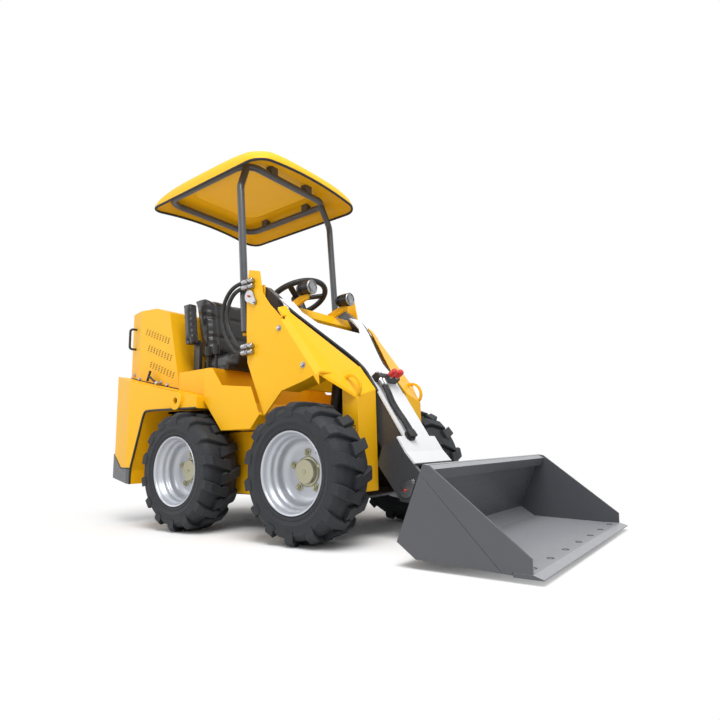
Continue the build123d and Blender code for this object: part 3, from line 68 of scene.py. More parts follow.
forward = Vector((-math.sin(YAW) * math.cos(PITCH), math.cos(YAW) * math.cos(PITCH), math.sin(PITCH)))
level_right = forward.cross(Vector((0, 0, 1))).normalized()
level_up = level_right.cross(forward)
right = math.cos(ROLL) * level_right + math.sin(ROLL) * level_up
up = -math.sin(ROLL) * level_right + math.cos(ROLL) * level_up
camera_data = bpy.data.cameras.new("camera")
camera_data.sensor_width = SENSOR_MM
camera_data.lens = FOCAL_PX / IMAGE_PX * SENSOR_MM
camera = bpy.data.objects.new("camera", camera_data)
scene.collection.objects.link(camera)
camera.matrix_world = Matrix((
    (right.x, up.x, -forward.x, CAMERA_AT.x),
    (right.y, up.y, -forward.y, CAMERA_AT.y),
    (right.z, up.z, -forward.z, CAMERA_AT.z),
    (0, 0, 0, 1),
))
scene.camera = camera
scene.view_settings.view_transform = "Standard"


# Materials
def node_material(name):
    """A new material with its principled shader, node tree and links."""
    material = bpy.data.materials.new(name)
    material.use_nodes = True
    nodes = material.node_tree.nodes
    return material, nodes["Principled BSDF"], nodes, material.node_tree.links


def noise(nodes, links, scale):
    """Noise over the object's own coordinates."""
    place = nodes.new("ShaderNodeTexCoord")
    texture = nodes.new("ShaderNodeTexNoise")
    texture.inputs["Scale"].default_value = scale
    texture.inputs["Detail"].default_value = 3.0
    links.new(place.outputs["Object"], texture.inputs["Vector"])
    return texture


def spread(nodes, links, source, low, high, socket):
    """Map a texture's factor to a range of numbers and link it to a socket."""
    ranged = nodes.new("ShaderNodeMapRange")
    ranged.inputs["From Min"].default_value = 0.3
    ranged.inputs["From Max"].default_value = 0.7
    ranged.inputs["To Min"].default_value = low
    ranged.inputs["To Max"].default_value = high
    links.new(source.outputs["Fac"], ranged.inputs["Value"])
    links.new(ranged.outputs["Result"], socket)


def surface(
    name, colour, rough, metal=0.0, shift=0.08, bump=0.0, bump_scale=400, patch=6, coat=0.0, gloss=0.5,
):
    """A material whose colour, roughness and surface vary a little over the piece."""
    material, shader, nodes, links = node_material(name)
    blotches = noise(nodes, links, patch)
    mix = nodes.new("ShaderNodeMix")
    mix.data_type = "RGBA"
    mix.inputs["A"].default_value = [c * (1 - shift) for c in colour] + [1]
    mix.inputs["B"].default_value = [min(1, c * (1 + shift)) for c in colour] + [1]
    links.new(blotches.outputs["Fac"], mix.inputs["Factor"])
    links.new(mix.outputs["Result"], shader.inputs["Base Color"])
    fine = noise(nodes, links, patch * 9)
    spread(nodes, links, fine, rough * 0.85, min(1, rough * 1.15), shader.inputs["Roughness"])
    shader.inputs["Metallic"].default_value = metal
    shader.inputs["Coat Weight"].default_value = coat
    shader.inputs["Specular IOR Level"].default_value = gloss
    if bump:
        grain = noise(nodes, links, bump_scale)
        bumped = nodes.new("ShaderNodeBump")
        bumped.inputs["Strength"].default_value = bump
        bumped.inputs["Distance"].default_value = 0.001
        links.new(grain.outputs["Fac"], bumped.inputs["Height"])
        links.new(bumped.outputs["Normal"], shader.inputs["Normal"])
    return material


GREY = (0.078, 0.08, 0.09)
finishes = {
    "yellow_paint": surface(
        "yellow_paint", (0.9, 0.47, 0.006), 0.42, shift=0.03, bump=0.03, bump_scale=260, gloss=0.22,
    ),
    "graphite_paint": surface(
        "graphite_paint", (0.06, 0.063, 0.07), 0.32, shift=0.06, bump=0.04, bump_scale=300, coat=0.2,
    ),
    "white_paint": surface("white_paint", (0.80, 0.81, 0.83), 0.4, shift=0.02, bump=0.04, bump_scale=300),
    "grey_paint": surface("grey_paint", GREY, 0.36, shift=0.06, bump=0.05, bump_scale=350),
    "worn_steel": surface("worn_steel", (0.36, 0.36, 0.37), 0.34, metal=1.0, shift=0.08, bump=0.03),
    "black_paint": surface("black_paint", (0.014, 0.014, 0.015), 0.4, shift=0.1, bump=0.04),
    "black_rubber": surface("black_rubber", (0.013, 0.013, 0.014), 0.6, shift=0.12, bump=0.1, bump_scale=500),
    "seat_vinyl": surface("seat_vinyl", (0.016, 0.016, 0.018), 0.34, shift=0.15, bump=0.1, bump_scale=420),
    "tyre_rubber": surface(
        "tyre_rubber", (0.022, 0.0245, 0.029), 0.66, shift=0.22, bump=0.3, bump_scale=260,
        patch=18, gloss=0.35,
    ),
    "rim_silver": surface("rim_silver", (0.50, 0.52, 0.56), 0.36, metal=0.5, shift=0.04, bump=0.03),
    "zinc_plate": surface("zinc_plate", (0.44, 0.42, 0.30), 0.38, metal=0.7, shift=0.1, bump=0.05),
    "red_plastic": surface("red_plastic", (0.62, 0.025, 0.02), 0.3, shift=0.06, bump=0.02),
}

# How far up a face looks (its normal's height) where the painted top light starts and where it is full
TOP_LIGHT_START, TOP_LIGHT_FULL = 0.15, 0.95


def paint_top_light(material, tone):
    """Lighten the faces of a finish that look up in the piece's own frame: painted light, a lighter tone
    where the overhead light falls on those faces.
    """
    nodes, links = material.node_tree.nodes, material.node_tree.links
    shader = next(node for node in nodes if node.type == "BSDF_PRINCIPLED")
    own = nodes.new("ShaderNodeTexCoord")
    split = nodes.new("ShaderNodeSeparateXYZ")
    links.new(own.outputs["Normal"], split.inputs["Vector"])
    rise = nodes.new("ShaderNodeMapRange")
    rise.inputs["From Min"].default_value = TOP_LIGHT_START
    rise.inputs["From Max"].default_value = TOP_LIGHT_FULL
    links.new(split.outputs["Z"], rise.inputs["Value"])
    mix = nodes.new("ShaderNodeMix")
    mix.data_type = "RGBA"
    links.new(rise.outputs["Result"], mix.inputs["Factor"])
    links.new(shader.inputs["Base Color"].links[0].from_socket, mix.inputs["A"])
    mix.inputs["B"].default_value = (*tone, 1)
    links.new(mix.outputs["Result"], shader.inputs["Base Color"])


# Bucket paint with painted light: its up-facing faces are lightened as if lit from above
top_lit_finish = surface("top_lit_bucket_finish", GREY, 0.36, shift=0.06, bump=0.05, bump_scale=350)
paint_top_light(top_lit_finish, (0.30, 0.31, 0.33))
glass, shader, nodes, links = node_material("lamp_glass")
shader.inputs["Base Color"].default_value = (0.95, 0.96, 0.97, 1)
shader.inputs["Transmission Weight"].default_value = 1.0
spread(nodes, links, noise(nodes, links, 60), 0.02, 0.08, shader.inputs["Roughness"])
finishes["lamp_glass"] = glass

slot_of = {row["node"]: row["material_slot"] for row in frame["record"]["subparts"]}
for node, piece in frame["nodes"].items():
    piece.data.materials.clear()
    piece.data.materials.append(finishes[slot_of[node]])
# The bucket and its cutting edge take the paint with painted light on their up-facing faces
for node in ("bucket_shell", "cutting_edge"):
    frame["nodes"][node].data.materials.clear()
    frame["nodes"][node].data.materials.append(top_lit_finish)


# Mesh helpers
def mesh_piece(name, shape, slot, body, sharp=35, nodes=()):
    """Turn a bmesh into a piece with its finish that rides on a body."""
    bmesh.ops.recalc_face_normals(shape, faces=shape.faces)
    mesh = bpy.data.meshes.new(name)
    shape.to_mesh(mesh)
    shape.free()
    mesh.shade_smooth()
    mesh.set_sharp_from_angle(angle=math.radians(sharp))
    mesh.materials.append(finishes[slot])
    made = bpy.data.objects.new(name, mesh)
    scene.collection.objects.link(made)
    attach(made, body)
    if nodes:
        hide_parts(*nodes)
    return made


def skin(shape, rings, closed=False, caps=False):
    """Join rings of points, each closed on itself, into one surface."""
    loops = [[shape.verts.new(point) for point in ring] for ring in rings]
    pairs = list(zip(loops, loops[1:]))
    if closed:
        pairs.append((loops[-1], loops[0]))
    for low, high in pairs:
        for step in range(len(low)):
            after = (step + 1) % len(low)
            shape.faces.new((low[step], low[after], high[after], high[step]))
    if caps:
        shape.faces.new(loops[0])
        shape.faces.new(loops[-1])


def lathe(shape, profile, centre, axis, sides=24, closed=False):
    """Turn a profile of (along, radius) in millimetres about an axis."""
    axis = Vector(axis).normalized()
    across = axis.orthogonal().normalized()
    third = axis.cross(across)
    rings = []
    for along, radius in profile:
        turns = [2 * math.pi * step / sides for step in range(sides)]
        rings.append([
            centre + (axis * along + (across * math.cos(turn) + third * math.sin(turn)) * radius) / 1000
            for turn in turns
        ])
    skin(shape, rings, closed, caps=not closed)


def prism(shape, outline, out):
    """Extrude a flat closed outline along a vector."""
    skin(shape, [outline, [point + out for point in outline]], caps=True)


def bolt(shape, place, out, size):
    """A washer and a domed hexagon head of a given radius, on a surface."""
    lathe(shape, [(-2, size * 1.6), (2, size * 1.6), (2.6, size * 1.5)], place, out, 20)
    lathe(shape, [(2, size), (2 + size * 0.75, size), (2 + size, size * 0.78)], place, out, 6)


def soften(piece, width, angle=28):
    """Round a piece's sharp edges a little."""
    weld = piece.modifiers.new("weld", "WELD")
    weld.merge_threshold = 0.00005
    flat = piece.modifiers.new("flat", "DECIMATE")
    flat.decimate_type = "DISSOLVE"
    flat.angle_limit = math.radians(0.6)
    bevel = piece.modifiers.new("bevel", "BEVEL")
    bevel.width = width / 1000
    bevel.segments = 2
    bevel.limit_method = "ANGLE"
    bevel.angle_limit = math.radians(angle)
    bevel.harden_normals = True


def line(name, points, radius, slot, body, cyclic=False):
    """A round strip of trim along a smooth line."""
    curve = bpy.data.curves.new(name, "CURVE")
    curve.dimensions = "3D"
    curve.bevel_depth = radius / 1000
    curve.bevel_resolution = 3
    curve.use_fill_caps = True
    spline = curve.splines.new("NURBS")
    spline.points.add(len(points) - 1)
    for control, point in zip(spline.points, points):
        control.co = (*point, 1)
    spline.order_u = 3
    spline.use_endpoint_u = not cyclic
    spline.use_cyclic_u = cyclic
    curve.materials.append(finishes[slot])
    made = bpy.data.objects.new(name, curve)
    scene.collection.objects.link(made)
    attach(made, body)
    return made


# Hoses: two loops outside the right tower, two on the boom
HOSE_Y = -395
HOSE_R, BOOM_HOSE_R = 10, 9
side_routes = {
    "side_hose_outer": (563, [
        (12, 1198), (-57, 1198), (-120, 1166), (-160, 1104), (-166, 1030), (-144, 958),
        (-100, 896), (-46, 846), (12, 846),
    ]),
    "side_hose_inner": (457, [
        (12, 1170), (-44, 1170), (-96, 1142), (-126, 1088), (-128, 1026), (-106, 968), (-70, 918),
        (-36, 876), (12, 876),
    ]),
}
for name, (length, route) in side_routes.items():
    hose = line(name, [at(x, HOSE_Y, z) for x, z in route], HOSE_R, "black_rubber", "chassis")
    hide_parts("side_hoses")

KNEE_X, KNEE_Z = 510, 730
END_X, END_Z = 740, 360
COVER_T = 8
slope_length = math.hypot(END_X - KNEE_X, END_Z - KNEE_Z)
slope_x, slope_z = (END_X - KNEE_X) / slope_length, (END_Z - KNEE_Z) / slope_length
slope_run = Vector((slope_x, 0, slope_z))
slope_out = Vector((-slope_z, 0, slope_x))


def on_boom(along, y, above):
    """A point above the front slope of the boom's cover."""
    lift = above + COVER_T
    return at(KNEE_X + along * slope_x - lift * slope_z, y, KNEE_Z + along * slope_z + lift * slope_x)


boom_route = [(62, 22), (118, 22), (178, 11), (236, 12), (294, 18), (350, 18)]
hose_rows = {"boom_hose_outer": -78, "boom_hose_inner": -54}
for name, y in hose_rows.items():
    points = [on_boom(along, y, above) for along, above in boom_route]
    hose = line(name, points, BOOM_HOSE_R, "black_rubber", "boom")
    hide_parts("boom_hoses")

# Screwed hose ends: crimped sleeve, hexagon nut, elbow block on the tower
shape = bmesh.new()
for _, route in side_routes.values():
    for x, z in (route[0], route[-1]):
        spot = at(x, HOSE_Y, z)
        lathe(shape, [
            (-26, 11), (-25, 12.5), (-18, 12.5), (-17, 11.6), (-14, 11.6), (-13, 12.5), (-6, 12.5),
            (-5, 11.6), (0, 11.6),
        ], spot, (1, 0, 0))
        lathe(shape, [(0, 13), (1, 14), (15, 14), (16, 13)], spot, (1, 0, 0), 6)
        lathe(shape, [(16, 9), (24, 9), (24, 11.5), (46, 11.5), (48, 9.5)], spot, (1, 0, 0))
        lathe(shape, [(0, 12.5), (15.6, 12.5)], at(x + 35, HOSE_Y, z), (0, 1, 0), 6)
mesh_piece("hose_ends", shape, "worn_steel", "chassis", nodes=["hose_fittings"])

# Coupler bracket at the knee of the boom, hose ferrules, capped quick couplers and a rubber grommet
BRACKET_FROM, BRACKET_TO = 30, 62
shape = bmesh.new()
bracket_face = [
    (BRACKET_FROM, 0), (BRACKET_TO, 0), (BRACKET_TO, 30),
    (BRACKET_TO - 7, 37), (BRACKET_FROM + 7, 37), (BRACKET_FROM, 30),
]
prism(shape, [on_boom(along, -95, above) for along, above in bracket_face], Vector((0, 0.175, 0)))
bracket = mesh_piece("coupler_bracket", shape, "black_paint", "boom", nodes=["couplers"])
soften(bracket, 1.5)

shape = bmesh.new()
for y in hose_rows.values():
    spot = on_boom(BRACKET_TO, y, 22)
    lathe(shape, [(-1, 13), (9, 13), (10, 12)], spot, slope_run, 6)
    lathe(shape, [
        (10, 10.5), (13, 11.6), (19, 11.6), (20, 10.8), (23, 10.8), (24, 11.6), (30, 11.6),
        (31, 10.8), (35, 10.2),
    ], spot, slope_run)
    lathe(shape, [(-38, 8), (-36, 11), (-34, 12), (-30, 12), (-29, 11), (0, 11)], spot, slope_run)
for y in (0, 50):
    lathe(shape, [(-2, 15), (5, 15), (6, 14), (6, 12), (10, 12)], on_boom(46, y, 36), slope_out, 24)
mesh_piece("coupler_bodies", shape, "worn_steel", "boom", nodes=["couplers"])

shape = bmesh.new()
cap_profile = [(2, 15.2), (3, 16), (9, 16), (10, 14.6)]
for foot in range(12, 36, 6):
    cap_profile += [(foot, 14.6), (foot + 1, 15.7), (foot + 4, 15.7), (foot + 5, 14.6)]
cap_profile += [(38, 14.6), (42, 12), (44.5, 7)]
for y in (0, 50):
    lathe(shape, cap_profile, on_boom(46, y, 38), slope_out, 28)
mesh_piece("coupler_dust_caps", shape, "red_plastic", "boom", nodes=["coupler_caps"])

GROMMET_ALONG, GROMMET_Y = 360, -66
GROMMET_STRETCH, GROMMET_LOBE = 1.05, 12
shape = bmesh.new()
grommet_rings = []
for reach, above in ((21, -2), (22, 5), (20, 9), (16, 10), (13, 8), (13, -2)):
    ring = []
    for step in range(40):
        turn = 2 * math.pi * step / 40
        shift = GROMMET_LOBE if math.sin(turn) > 0 else -GROMMET_LOBE
        along = GROMMET_ALONG + reach * GROMMET_STRETCH * math.cos(turn)
        ring.append(on_boom(along, GROMMET_Y + shift + reach * math.sin(turn), above))
    grommet_rings.append(ring)
skin(shape, grommet_rings)
for y in hose_rows.values():
    lathe(shape, [(-14, 9.5), (-10, 12), (4, 14), (22, 14)], on_boom(350, y, 17), slope_run)
mesh_piece("hose_grommet", shape, "black_rubber", "boom", nodes=["couplers"])

# Tyres: a smooth carcass with ribbed side walls, and the kinked lugs of the CAD tyre with rounded tops
AXLE_X, WHEEL_Y = 398, 400
WHEELS = {
    "front_right": (AXLE_X, -WHEEL_Y, 1),
    "front_left": (AXLE_X, WHEEL_Y, -1),
    "rear_right": (-AXLE_X, -WHEEL_Y, 1),
    "rear_left": (-AXLE_X, WHEEL_Y, -1),
}
TYRE_R = 292
LUG_COUNT = 14
LUG_MEAN_R = 285
side_wall = [
    (166, 78), (171, 86), (174, 92), (181, 94.5), (183, 96.5), (188, 96.5), (190, 95), (204, 99),
    (206, 100.5), (210, 100.5),
    (212, 99.8), (226, 101), (238, 100), (241, 101.5), (246, 100.5), (249, 98), (257, 91),
    (265, 81), (270, 66), (272.5, 40), (273, 0),
]
carcass = side_wall + [(radius, -y) for radius, y in reversed(side_wall[:-1])]
DISC_INSET, STUD_COUNT, STUD_CIRCLE_R = 15, 5, 80
VALVE_R, VALVE_OUT, VALVE_TURN = 0.139, 0.035, 0.6
rim_face = [
    (88, 170.5), (93, 171), (95, 169.5), (95, 166), (92, 163), (84, 161), (72, 158.5), (65, 154),
    (61, 149.5), (50, 148),
    (42, 146.5), (36, 142), (33, 138), (20, 136.5), (6, 134.5), (-3, 129), (-9, 121), (-13, 113),
    (-15, 104), (-15, 64),
    (-23, 64), (-23, 110), (-18, 124), (-8, 134), (10, 141), (32, 144), (42, 151), (60, 158), (78, 165),
]
rim_back = [
    (-8, 135), (-45, 135), (-60, 147), (-95, 147), (-95, 169.5), (-88, 170), (-87, 155),
    (-62, 155), (-47, 142), (-8, 142),
]
hub_profile = [
    (-35, 96), (-23, 96), (-23, 61.5), (-13, 61.5), (-12, 52), (6, 51), (8, 49.5), (8, 12),
    (6.5, 11), (6.5, 6), (9.5, 5.5), (10, 1),
]
lug_rows = [
    (103, -25, 24, 268, 230), (92, -29, 19, 279, 244), (77, -34, 13, 289, 258), (45, -45, 1, 291, 266),
    (14, -55, -13, 291.5, 266), (4, -58, -6, 291.5, 266), (-24, -67, -14, 291.5, 266),
]


def lug(shape, centre, turn, near):
    """One kinked tread lug, drawn as rows across it from the shoulder to past the middle."""
    rings = []
    for y, low, high, top, root in lug_rows:
        row = [
            (low - 3, root), (low, top - 4), (low + 3.5, top),
            (high - 3.5, top), (high, top - 4), (high + 3, root),
        ]
        ring = []
        for along, radius in row:
            angle = turn - along / LUG_MEAN_R
            offset = (radius * math.cos(angle), -near * y, -radius * math.sin(angle))
            ring.append(centre + Vector(offset) / 1000)
        rings.append(ring)
    skin(shape, rings, caps=True)


for place, (x, y, outside) in WHEELS.items():
    centre = at(x, y, TYRE_R)
    body = f"wheel_{place}"
    shape = bmesh.new()
    lathe(shape, [(along, radius) for radius, along in carcass], centre, (0, 1, 0), 112, closed=True)
    for number in range(LUG_COUNT):
        lug(shape, centre, math.radians(90 + number * 360 / LUG_COUNT), outside)
        lug(shape, centre, math.radians(90 + (number + 0.5) * 360 / LUG_COUNT), -outside)
    mesh_piece(f"lugged_tyre_{place}", shape, "tyre_rubber", body, sharp=28, nodes=[f"tyre_{place}"])
    face = Vector((0, -outside, 0))
    shape = bmesh.new()
    for profile in (rim_face, rim_back):
        lathe(shape, profile, centre, face, 96, closed=True)
    mesh_piece(f"stepped_rim_{place}", shape, "rim_silver", body, sharp=50, nodes=[f"rim_{place}"])
    shape = bmesh.new()
    lathe(shape, hub_profile, centre, face, 48)
    for number in range(STUD_COUNT):
        turn = math.radians(90 + number * 360 / STUD_COUNT)
        offset = (STUD_CIRCLE_R * math.cos(turn), outside * DISC_INSET, STUD_CIRCLE_R * math.sin(turn))
        stud = centre + Vector(offset) / 1000
        lathe(shape, [(-1, 17), (3, 17), (4, 15.5)], stud, face, 24)
        lathe(shape, [(3, 12.5), (13, 12.5), (15, 10)], stud, face, 6)
        lathe(shape, [(13, 7), (21, 7), (22, 6)], stud, face, 12)
    mesh_piece(f"bolted_hub_{place}", shape, "zinc_plate", body, nodes=[f"hub_{place}"])
    # Valve stem in the outer step of the rim
    shape = bmesh.new()
    stem_x, stem_z = VALVE_R * math.cos(VALVE_TURN), VALVE_R * math.sin(VALVE_TURN)
    stem = centre + Vector((stem_x, -outside * VALVE_OUT, stem_z))
    lathe(shape, [(-4, 7), (6, 6), (10, 4), (26, 4), (27, 3)], stem, (0, -outside, 0), 12)
    mesh_piece(f"valve_{place}", shape, "black_rubber", body)

# Canopy: one smooth moulded dome over the CAD form, with a pressed panel and ribs in its roof
CANOPY_FRONT, CANOPY_REAR, CANOPY_HALF = 112, -850, 412
CANOPY_RIM_Z, CANOPY_TOP_Z, RIM_RISE, ARCH_HALF = 1822, 1945, 42, 432
CORNER_DROOP = 0.9
canopy_mid = (CANOPY_FRONT + CANOPY_REAR) / 2
canopy_long = (CANOPY_FRONT - CANOPY_REAR) / 2


def canopy_ring(inset, corner, share, drop=0):
    """Points round the dome at a share of its height; the rim's arch fades out towards the top."""
    points = []
    for sign_x, sign_y, start in ((1, 1, 0), (-1, 1, 90), (-1, -1, 180), (1, -1, 270)):
        for step in range(9):
            turn = math.radians(start + step * 90 / 8)
            x = canopy_mid + sign_x * (canopy_long - inset - corner) + corner * math.cos(turn)
            y = sign_y * (CANOPY_HALF - inset - corner) + corner * math.sin(turn)
            points.append((x, y))
        if start in (0, 180):
            side = -1 if start == 180 else 1
            for step in range(1, 8):
                x = canopy_mid + side * (canopy_long - inset - corner) * (1 - step / 4)
                points.append((x, side * (CANOPY_HALF - inset)))
        else:
            side = -1 if start == 90 else 1
            for step in range(1, 12):
                y = side * (CANOPY_HALF - inset - corner) * (-1 + step / 6)
                points.append((canopy_mid + side * (canopy_long - inset), y))
    ring = []
    for x, y in points:
        rim = CANOPY_RIM_Z + RIM_RISE * (1 - (y / ARCH_HALF) ** 2)
        droop = CORNER_DROOP * ((x - canopy_mid) / canopy_long) ** 4 * (y / CANOPY_HALF) ** 4
        ring.append(at(x, y, rim + share * (1 - droop) * (CANOPY_TOP_Z - rim) - drop))
    return ring


# Rows of (inset from the edge, corner radius, share of the height), from the rim inwards
dome = [
    (0, 90, 0), (1.5, 90, 0.12), (5, 90, 0.26), (10, 91, 0.4), (18, 92, 0.54), (29, 94, 0.67),
    (44, 96, 0.79), (62, 97, 0.88), (82, 98, 0.94), (104, 100, 0.98), (128, 102, 1.0),
]
GROOVE = 0.955
roof = [(150, 104, 1), (156, 104, GROOVE), (180, 100, GROOVE), (186, 100, 1), (260, 80, 1), (340, 50, 1)]
ceiling = [(158, 96, 1), (164, 96, GROOVE), (172, 92, GROOVE), (178, 92, 1), (260, 72, 1), (340, 42, 1)]
CANOPY_WALL = 8
rings = [canopy_ring(*row) for row in dome + roof]
under = [
    canopy_ring(inset + CANOPY_WALL, corner - CANOPY_WALL, share, CANOPY_WALL * share)
    for inset, corner, share in dome
]
under += [canopy_ring(*row, CANOPY_WALL) for row in ceiling]
shape = bmesh.new()
skin(shape, list(reversed(under)) + rings, caps=True)
mesh_piece("canopy_dome", shape, "yellow_paint", "chassis", sharp=50, nodes=["canopy"])
trim = line("canopy_edge", canopy_ring(6, 84, 0, 5), 7, "black_rubber", "chassis", cyclic=True)
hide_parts("canopy_trim")

# Work lamps: bright bezel, stepped reflector and a convex glass
LAMP_Y, LAMP_Z = 154, 1184
FORWARD = (1, 0, 0)
bezel = [(223, 36.5), (228, 36.5), (230, 35), (230, 32), (226, 30.8), (223, 30.8)]
reflector = [(224.2, 31), (225.6, 24), (224.8, 22), (225.8, 14), (224.8, 12), (226, 6), (226.2, 1)]
bezels, reflectors, glasses = bmesh.new(), bmesh.new(), bmesh.new()
for y in (-LAMP_Y, LAMP_Y):
    axis_foot = at(0, y, LAMP_Z)
    lathe(bezels, bezel, axis_foot, FORWARD, 40, closed=True)
    lathe(reflectors, reflector, axis_foot, FORWARD, 40)
    lathe(glasses, [(226.6, 31), (228, 26), (229.3, 16), (229.9, 6), (230, 1)], axis_foot, FORWARD, 40)
mesh_piece("lamp_bezels", bezels, "worn_steel", "chassis", nodes=["lamp_lenses"])
mesh_piece("lamp_reflectors", reflectors, "worn_steel", "chassis", nodes=["lamp_lenses"])
mesh_piece("lamp_glasses", glasses, "lamp_glass", "chassis", nodes=["lamp_lenses"])


# Seat: stuffed vinyl pads swollen by cloth pressure, with sewn channels
CLOTH_FRAMES, CLOTH_PRESSURE = 20, 4
CHANNEL_DEPTH, CHANNEL_W, CHANNEL_FACING = 0.009, 0.007, 0.35


def settle(piece):
    """Keep a piece's shape as its modifiers leave it."""
    graph = bpy.context.evaluated_depsgraph_get()
    shaped = bpy.data.meshes.new_from_object(piece.evaluated_get(graph))
    piece.modifiers.clear()
    piece.data = shaped


def pad(name, node, body, voxel, shrink, reach, channels):
    """A pad swollen from its CAD solid; channels are (axis, place, facing) lines pressed into it."""
    low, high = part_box(node)
    middle = (Vector(low) + Vector(high)) / 2
    mesh = frame["nodes"][node].data.copy()
    mesh.materials.clear()
    made = bpy.data.objects.new(name, mesh)
    scene.collection.objects.link(made)
    for vertex in mesh.vertices:
        vertex.co = middle + (vertex.co - middle) * shrink
    remesh = made.modifiers.new("remesh", "REMESH")
    remesh.mode = "VOXEL"
    remesh.voxel_size = voxel
    smooth = made.modifiers.new("smooth", "SMOOTH")
    smooth.iterations = 6
    settle(made)
    still = [vertex.co.copy() for vertex in made.data.vertices]
    cloth = made.modifiers.new("cloth", "CLOTH")
    cloth.settings.use_pressure = True
    cloth.settings.uniform_pressure_force = CLOTH_PRESSURE
    cloth.settings.effector_weights.gravity = 0
    cloth.point_cache.frame_start = 1
    cloth.point_cache.frame_end = CLOTH_FRAMES
    for moment in range(1, CLOTH_FRAMES + 1):
        scene.frame_set(moment)
    settle(made)
    scene.frame_set(1)
    for vertex, start in zip(made.data.vertices, still):
        moved = vertex.co - start
        if moved.length > reach:
            vertex.co = start + moved.normalized() * reach
    normals = [vertex.normal.copy() for vertex in made.data.vertices]
    for vertex, normal in zip(made.data.vertices, normals):
        push = 0
        for axis, place, facing in channels:
            if normal.dot(Vector(facing)) > CHANNEL_FACING:
                away = (vertex.co[axis] - place) / CHANNEL_W
                push = max(push, CHANNEL_DEPTH * math.exp(-away ** 2))
        vertex.co -= normal * push
    made.data.name = name
    made.data.materials.append(finishes["seat_vinyl"])
    made.data.shade_smooth()
    relax = made.modifiers.new("relax", "SMOOTH")
    relax.iterations = 12
    round_off = made.modifiers.new("round_off", "SUBSURF")
    round_off.levels = round_off.render_levels = 1
    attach(made, body)
    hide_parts(node)


UP, AHEAD = (0, 0, 1), (1, 0, 0.2)
pad("seat_pad", "seat_cushion", "chassis", 0.006, 0.95, 0.014, [
    (1, -0.15, UP), (1, 0.15, UP), (0, at(-330, 0, 0).x, UP), (0, at(-430, 0, 0).x, UP),
])
pad("back_pad", "seat_back", "chassis", 0.006, 0.95, 0.014, [
    (1, -0.15, AHEAD), (1, 0.15, AHEAD), (2, 1.03, AHEAD), (2, 1.15, AHEAD),
])
for side in ("right", "left"):
    pad(f"arm_pad_{side}", f"armrest_{side}", f"armrest_{side}", 0.004, 0.93, 0.006, [])

# Bolts, grease nipples and plough bolts
chassis_bolts, hood_bolts = bmesh.new(), bmesh.new()
boom_bolts, edge_bolts = bmesh.new(), bmesh.new()
chassis_nipples, boom_nipples = bmesh.new(), bmesh.new()
TOWER_Y, HOOD_HALF, TAIL_X = 380, 340, -1215
NIPPLE = [(-1, 5.5), (4, 5.5), (5, 4.5), (9, 3.5), (10, 2)]
for side in (-1, 1):
    out = Vector((0, side, 0))
    for x, z in ((222, 937), (370, 749)):
        bolt(chassis_bolts, at(x, side * TOWER_Y, z), out, 9)
    bolt(chassis_bolts, at(62, side * (TOWER_Y + 10), 1088), out, 6)
    lathe(chassis_nipples, NIPPLE, at(26, side * (TOWER_Y + 10), 1124), out, 16)
    for y in (110, 270):
        bolt(chassis_bolts, at(TAIL_X, side * y, 312), (-1, 0, 0), 15)
    for x, z in ((-707, 758), (-990, 818)):
        bolt(hood_bolts, at(x, side * HOOD_HALF, z), out, 8)
    bolt(hood_bolts, at(-1093, side * 313, 854), (-0.278, side, 0), 8)
bolt(boom_bolts, at(778, -170, 243), (0, -1, 0), 6)
lathe(boom_nipples, NIPPLE, at(742, -170, 207), (0, -1, 0), 16)
plough_head = [(-2, 12), (1, 12), (1.4, 11), (-0.5, 6), (-0.6, 1)]
for y in range(-480, 481, 160):
    lathe(edge_bolts, plough_head, at(1366, y, 29), UP, 20)
mesh_piece("chassis_bolts", chassis_bolts, "worn_steel", "chassis")
mesh_piece("hood_bolts", hood_bolts, "worn_steel", "hood")
mesh_piece("pin_bolt", boom_bolts, "worn_steel", "boom")
mesh_piece("plough_bolts", edge_bolts, "black_paint", "bucket")
mesh_piece("pivot_nipples", chassis_nipples, "red_plastic", "chassis")
mesh_piece("tilt_nipple", boom_nipples, "red_plastic", "boom")

# Hood latch: a T handle on a pivot boss
LATCH_Y = -368
bar = [(-866, 793), (-853, 820), (-839, 849)]
stem = [(-853, 821), (-815, 797), (-774, 773)]
line("latch_bar", [at(x, LATCH_Y, z) for x, z in bar], 7, "black_paint", "hood")
line("latch_stem", [at(x, LATCH_Y, z) for x, z in stem], 6, "black_paint", "hood")
shape = bmesh.new()
lathe(shape, [(-2, 17), (4, 17), (6, 12), (30, 11), (34, 9)], at(-774, -HOOD_HALF, 773), (0, -1, 0), 24)
mesh_piece("latch_boss", shape, "worn_steel", "hood")

# Rubber: arch edges, the joint over the counterweight, the seal under the hood
ARCH_Y = 440
arch = [
    (-302, 600), (-520, 606), (-735, 612), (-768, 604), (-800, 517), (-870, 338), (-890, 286),
    (-886, 215),
]
seal = [
    (-592, 340, 724), (-780, 340, 764), (-990, 340, 808),
    (-1004, 339, 811), (-1090, 314, 830), (-1166, 292, 846),
]
for side, name in ((-1, "right"), (1, "left")):
    line(f"arch_edge_{name}", [at(x, side * ARCH_Y, z) for x, z in arch], 6, "black_rubber", "chassis")
    line(f"hood_seal_{name}", [at(x, side * y, z) for x, y, z in seal], 4, "black_rubber", "chassis")
joint = [
    (-896, 440, 301), (-925, 440, 301), (-940, 437, 301), (-1035, 410, 300),
    (-1050, 405, 305), (-1182, 367, 369), (-1192, 355, 373),
]
joint_line = [at(x, -y, z) for x, y, z in joint] + [at(x, y, z) for x, y, z in reversed(joint)]
line("counterweight_joint", joint_line, 4, "black_rubber", "chassis")
